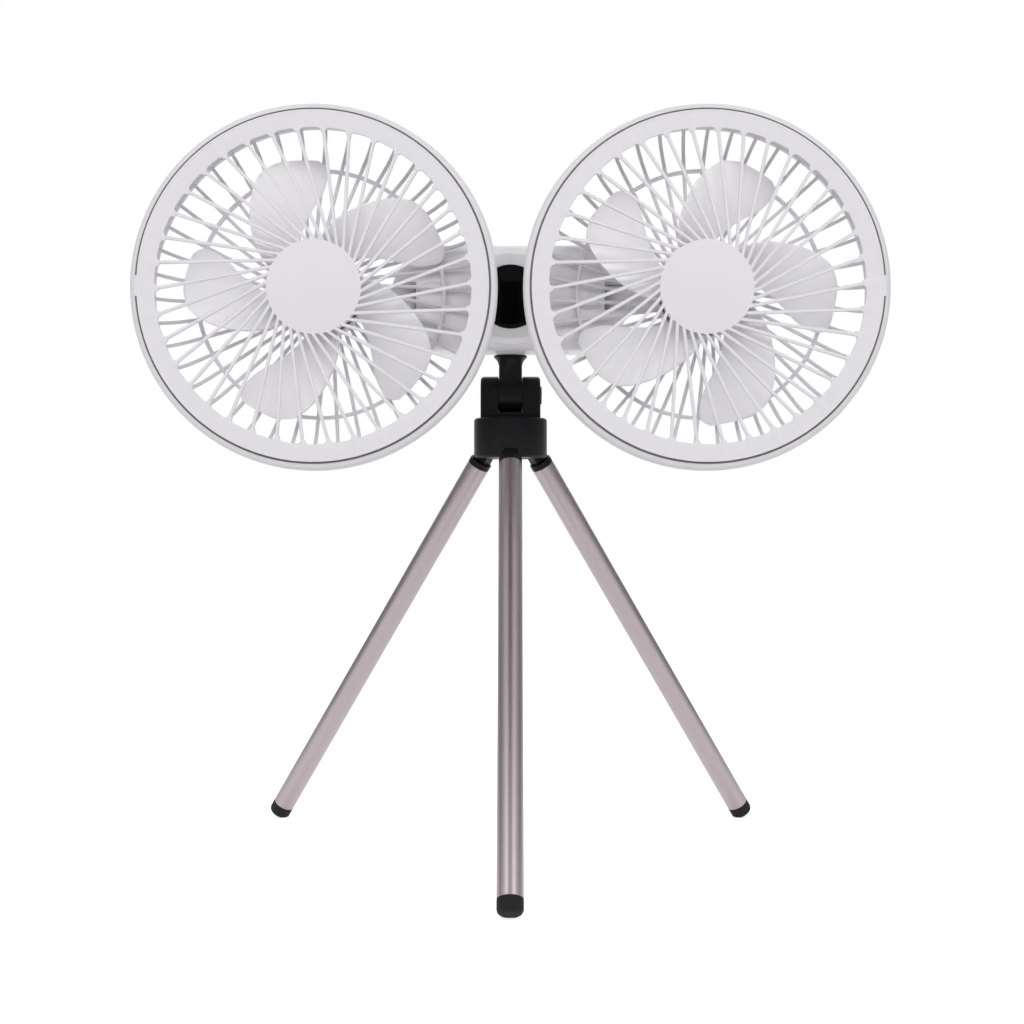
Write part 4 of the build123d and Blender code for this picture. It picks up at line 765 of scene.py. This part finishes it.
def fan(name):
    """Five blades and the hub cup of one head."""
    # The blades and hub take the paler white, as painted light against the shade inside the head.
    ring = {
        "Count": 5, "First Angle": radians(BLADE_PHASE[name]), "Centre": HEADS[name], "Pattern": blade_pattern,
        "Half Turn": 0.0 if SIDES[name] > 0 else pi, "Finish": bright_white,
    }
    shapes = [
        grow(f"blades_{name}", blades, ring),
        turned_mesh(f"hub_{name}", rounded(HUB, 0.8), head_matrix(name), turns=96),
    ]
    made = joined(f"fan_blades_{name}_dressed", shapes, bright_white)
    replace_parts(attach(made, f"fan_{name}"), f"fan_blades_{name}")
    return made


for side_name in SIDES:
    print(fan(side_name).name, "made")
bpy.data.objects.remove(blade_pattern)

# %% [markdown]
# ## The legs
# A leg is a drawn tube between a black knuckle and a rubber foot. The tube is turned from its wall's outline, with
# the tiny rounding that is left when the burr of the cut is taken off. Its hinge pin lies at a set place on the hub,
# whose box comes from the frame, and the leg runs down from there at its azimuth and splay.

# %% Tubes along the legs
LEG_SPLAY, PIN_REACH, PIN_RISE = 34.2, 10.9, 8.0
LEG_AZIMUTHS = {"front": -90.0, "right": 30.0, "left": 150.0}
TUBE_RADIUS, TUBE_WALL, TUBE_START, TUBE_END = 5.65, 0.9, 13.8, 233.1
HUB_LOW, HUB_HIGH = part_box("tripod_hub")
HUB_MIDDLE = (HUB_LOW + HUB_HIGH) / 2


def leg_matrix(name):
    """Places a shape made round Z, with its length along Z, on a leg, from the hinge pin downwards."""
    turn = radians(LEG_AZIMUTHS[name])
    splay = radians(LEG_SPLAY)
    out = Vector((cos(turn), sin(turn), 0.0))
    pin = Vector((HUB_MIDDLE.x, HUB_MIDDLE.y, HUB_LOW.z + PIN_RISE * MM)) + out * PIN_REACH * MM
    down = out * sin(splay) - Vector((0.0, 0.0, cos(splay)))
    across = Vector((-sin(turn), cos(turn), 0.0))
    return Matrix.Translation(pin) @ Matrix((across, down.cross(across), down)).transposed().to_4x4()


def leg_tube(name):
    """One aluminium tube."""
    inner = TUBE_RADIUS - TUBE_WALL
    wall = [(TUBE_RADIUS, TUBE_START), (TUBE_RADIUS, TUBE_END), (inner, TUBE_END), (inner, TUBE_START)]
    mesh = turned_mesh(f"leg_tube_{name}_dressed", rounded(wall, 0.22), leg_matrix(name), turns=72)
    made = piece(mesh.name, mesh, anodised_aluminium)
    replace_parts(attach(made, f"leg_{name}"), f"leg_tube_{name}")
    return made


for leg_name in LEG_AZIMUTHS:
    print(leg_tube(leg_name).name, "made")

# %% [markdown]
# ## Softening the machined shapes
# The other solids have the right shape, but their edges are as sharp as only a drawing can be. A copy of each is
# merged into one skin, its flat faces are joined, and a small bevel rounds its edges, so that light catches on them as
# on a moulding. The solid itself stays in the frame and is only hidden. The white ones, which are the body, its plugs
# and the arms, take the same paler white as the fans. This is painted light: it brightens them to make up for the
# shade they sit in behind the heads.

# %% A softened copy of a solid
NODE_BODY = {node: body for body, nodes in frame["record"]["behaviour"]["bodies"].items() for node in nodes}
NODE_SLOT = {part["node"]: part["material_slot"] for part in frame["record"]["subparts"]}


MERGE_WITHIN, FLAT_WITHIN, BEVEL_FROM, SHARP_FROM = 2e-6, radians(0.6), radians(35), 40.0


def softened(node, radius):
    """A merged copy of a CAD node with rounded edges, standing for it."""
    mesh = frame["nodes"][node].data.copy()
    mesh.name = f"{node}_dressed"
    work = bmesh.new()
    work.from_mesh(mesh)
    bmesh.ops.remove_doubles(work, verts=work.verts, dist=MERGE_WITHIN)
    bmesh.ops.dissolve_limit(work, angle_limit=FLAT_WITHIN, verts=work.verts, edges=work.edges, delimit={"NORMAL"})
    work.to_mesh(mesh)
    work.free()
    # White parts take the paler white, as painted light against the shade behind the heads.
    finish = bright_white if NODE_SLOT[node] == "white_plastic" else FINISHES[NODE_SLOT[node]]
    made = piece(mesh.name, mesh, finish)
    bevel = made.modifiers.new("edge", "BEVEL")
    bevel.width = radius * MM
    bevel.segments = 2
    bevel.angle_limit = BEVEL_FROM
    smooth(mesh, SHARP_FROM)
    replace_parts(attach(made, NODE_BODY[node]), node)
    return made


SOFTENED = {
    "tripod_hub": 0.4, "tilt_yoke": 0.5, "neck": 0.4, "leg_knuckle_front": 0.3, "leg_knuckle_right": 0.3,
    "leg_knuckle_left": 0.3, "leg_foot_front": 0.4, "leg_foot_right": 0.4, "leg_foot_left": 0.4,
    "body_front_shell": 0.35, "body_rear_shell": 0.35, "screw_plugs": 0.25, "power_button": 0.3, "hinge_bolt": 0.2,
    "head_arm_right": 0.5, "head_arm_left": 0.5,
}
for node_name, edge_radius in SOFTENED.items():
    made_piece = softened(node_name, edge_radius)
    print(made_piece.name, len(made_piece.data.polygons), "faces")

# %% [markdown]
# ## Dressing what stays
# Screws, pins, the motor's parts, the board and the cells keep their own solids. Each gets its finish by its slot in
# the record. They are too small or too deep inside for softened edges to show.

# %% Finishes for the solids that stay
for node_name, solid in frame["nodes"].items():
    if not solid.hide_render:
        solid.data.materials.clear()
        solid.data.materials.append(FINISHES[NODE_SLOT[node_name]])
print("solids kept:", sum(not solid.hide_render for solid in frame["nodes"].values()))

# %% [markdown]
# ## Studio
# The photograph is a product shot on white, taken from a little below the stand's hub. The camera looks straight along
# Y, about 0.8 metres from the hub. The floor is one large pale sheet. Where the camera, a mirror or glass looks at it,
# it is lifted to white, but only by a part, so that the shadows of the feet stay on it.

# %% Camera
CAMERA_ASIDE, CAMERA_AWAY, CAMERA_HEIGHT = 0.00075, 0.789, 0.1655
camera_data = bpy.data.cameras.new("camera")
camera_data.sensor_width = 36.0
camera_data.lens = 55.7
camera = bpy.data.objects.new("camera", camera_data)
camera.location = (CAMERA_ASIDE, HUB_MIDDLE.y - CAMERA_AWAY, CAMERA_HEIGHT)
camera.rotation_euler = (pi / 2, 0.0, 0.0)
bpy.context.scene.collection.objects.link(camera)
bpy.context.scene.camera = camera
print("lens:", round(camera_data.lens, 1), "mm")


# %% Floor
def seen_directly(tree):
    """1 where a ray comes from the camera, from a mirror or through glass, else 0."""
    path = add_node(tree, "ShaderNodeLightPath").outputs
    some = calc(tree, "MAXIMUM", path["Is Camera Ray"], path["Is Glossy Ray"])
    return calc(tree, "MAXIMUM", some, path["Is Transmission Ray"])


FLOOR_TONE, FLOOR_LIFT = 0.82, 0.6
floor_finish = bpy.data.materials.new("floor")
floor_finish.use_nodes = True
floor_tree = floor_finish.node_tree
floor_tree.nodes.clear()
sheet = add_node(floor_tree, "ShaderNodeBsdfDiffuse", {"Color": grey(FLOOR_TONE)}).outputs[0]
lift = calc(floor_tree, "MULTIPLY", seen_directly(floor_tree), FLOOR_LIFT)
glow = add_node(floor_tree, "ShaderNodeEmission", {"Strength": lift}).outputs[0]
both = add_node(floor_tree, "ShaderNodeAddShader", {0: sheet, 1: glow}).outputs[0]
add_node(floor_tree, "ShaderNodeOutputMaterial", {"Surface": both})
bpy.ops.mesh.primitive_plane_add(size=12.0, location=(0.0, 0.0, 0.0))
floor = bpy.context.object
floor.name = "floor"
floor.data.materials.append(floor_finish)
print("floor made")


# %% Lamps and surroundings
def soft_box(name, place, target, size, power):
    """A square studio lamp that faces a point."""
    lamp = bpy.data.lights.new(name, "AREA")
    lamp.size = size
    lamp.energy = power
    holder = bpy.data.objects.new(name, lamp)
    holder.location = place
    holder.rotation_euler = (Vector(target) - Vector(place)).to_track_quat("-Z", "Y").to_euler()
    bpy.context.scene.collection.objects.link(holder)
    return holder


# Hidden from mirrors, the front lamp draws no bright streak down the front leg.
MIDDLE, AMBIENT = (0.0, 0.0, 0.22), 0.7
front_lamp = soft_box("front", (0.0, -1.4, 1.05), MIDDLE, 0.8, 8.8)
front_lamp.visible_glossy = False
soft_box("back", (0.0, 1.4, 1.3), MIDDLE, 1.0, 10.0)
for side in (-1, 1):
    soft_box(f"front_{side}", (side * 0.85, -1.2, 1.0), MIDDLE, 0.6, 3.2)
world = bpy.data.worlds.new("studio")
bpy.context.scene.world = world
world.use_nodes = True
sky_tree = world.node_tree
sky_tree.nodes.clear()
lit = add_node(sky_tree, "ShaderNodeBackground", {"Color": grey(1.0), "Strength": AMBIENT}).outputs[0]
white = add_node(sky_tree, "ShaderNodeBackground", {"Color": grey(1.0), "Strength": 1.0}).outputs[0]
blend_sky = add_node(sky_tree, "ShaderNodeMixShader", {"Fac": seen_directly(sky_tree), 1: lit, 2: white}).outputs[0]
add_node(sky_tree, "ShaderNodeOutputWorld", {"Surface": blend_sky})
bpy.context.scene.view_settings.view_transform = "Standard"
print("lamps:", [light.name for light in bpy.data.lights])

# %% [markdown]
# ### Dark cards
# On white, a pale thing has no outline and a black one looks grey, because both mirror the white room. A photographer
# puts up dark cards out of the picture: one behind the camera and one overhead keep what faces them deep, and a grey
# one at each far side draws a line along round edges. The camera doesn't see them, also from another side.

# %% Cards
def card(name, place, size, tone, turn=(pi / 2, 0.0, 0.0)):
    """A matt card that only lamps' light and mirrors notice."""
    bpy.ops.mesh.primitive_plane_add(size=1.0)
    made = bpy.context.object
    made.name = name
    stand = Matrix.Translation(place) @ Euler(turn).to_matrix().to_4x4()
    made.data.transform(stand @ Matrix.Diagonal((*size, 1.0, 1.0)))
    finish = bpy.data.materials.new(name)
    finish.use_nodes = True
    shader = finish.node_tree.nodes["Principled BSDF"]
    shader.inputs["Base Color"].default_value = grey(tone)
    shader.inputs["Roughness"].default_value = 0.9
    made.data.materials.append(finish)
    made.visible_camera = False
    return made


card("front_card", (0.0, -1.15, 0.34), (0.9, 0.5), 0.02)
card("ceiling_card", (0.0, -0.55, 1.25), (0.7, 1.2), 0.04, (0.0, 0.0, 0.0))
for side in (-1, 1):
    card(f"side_card_{side}", (side * 1.15, 0.5, 0.66), (1.6, 1.1), 0.4, (pi / 2, 0.0, -side * radians(78)))
print("cards up")
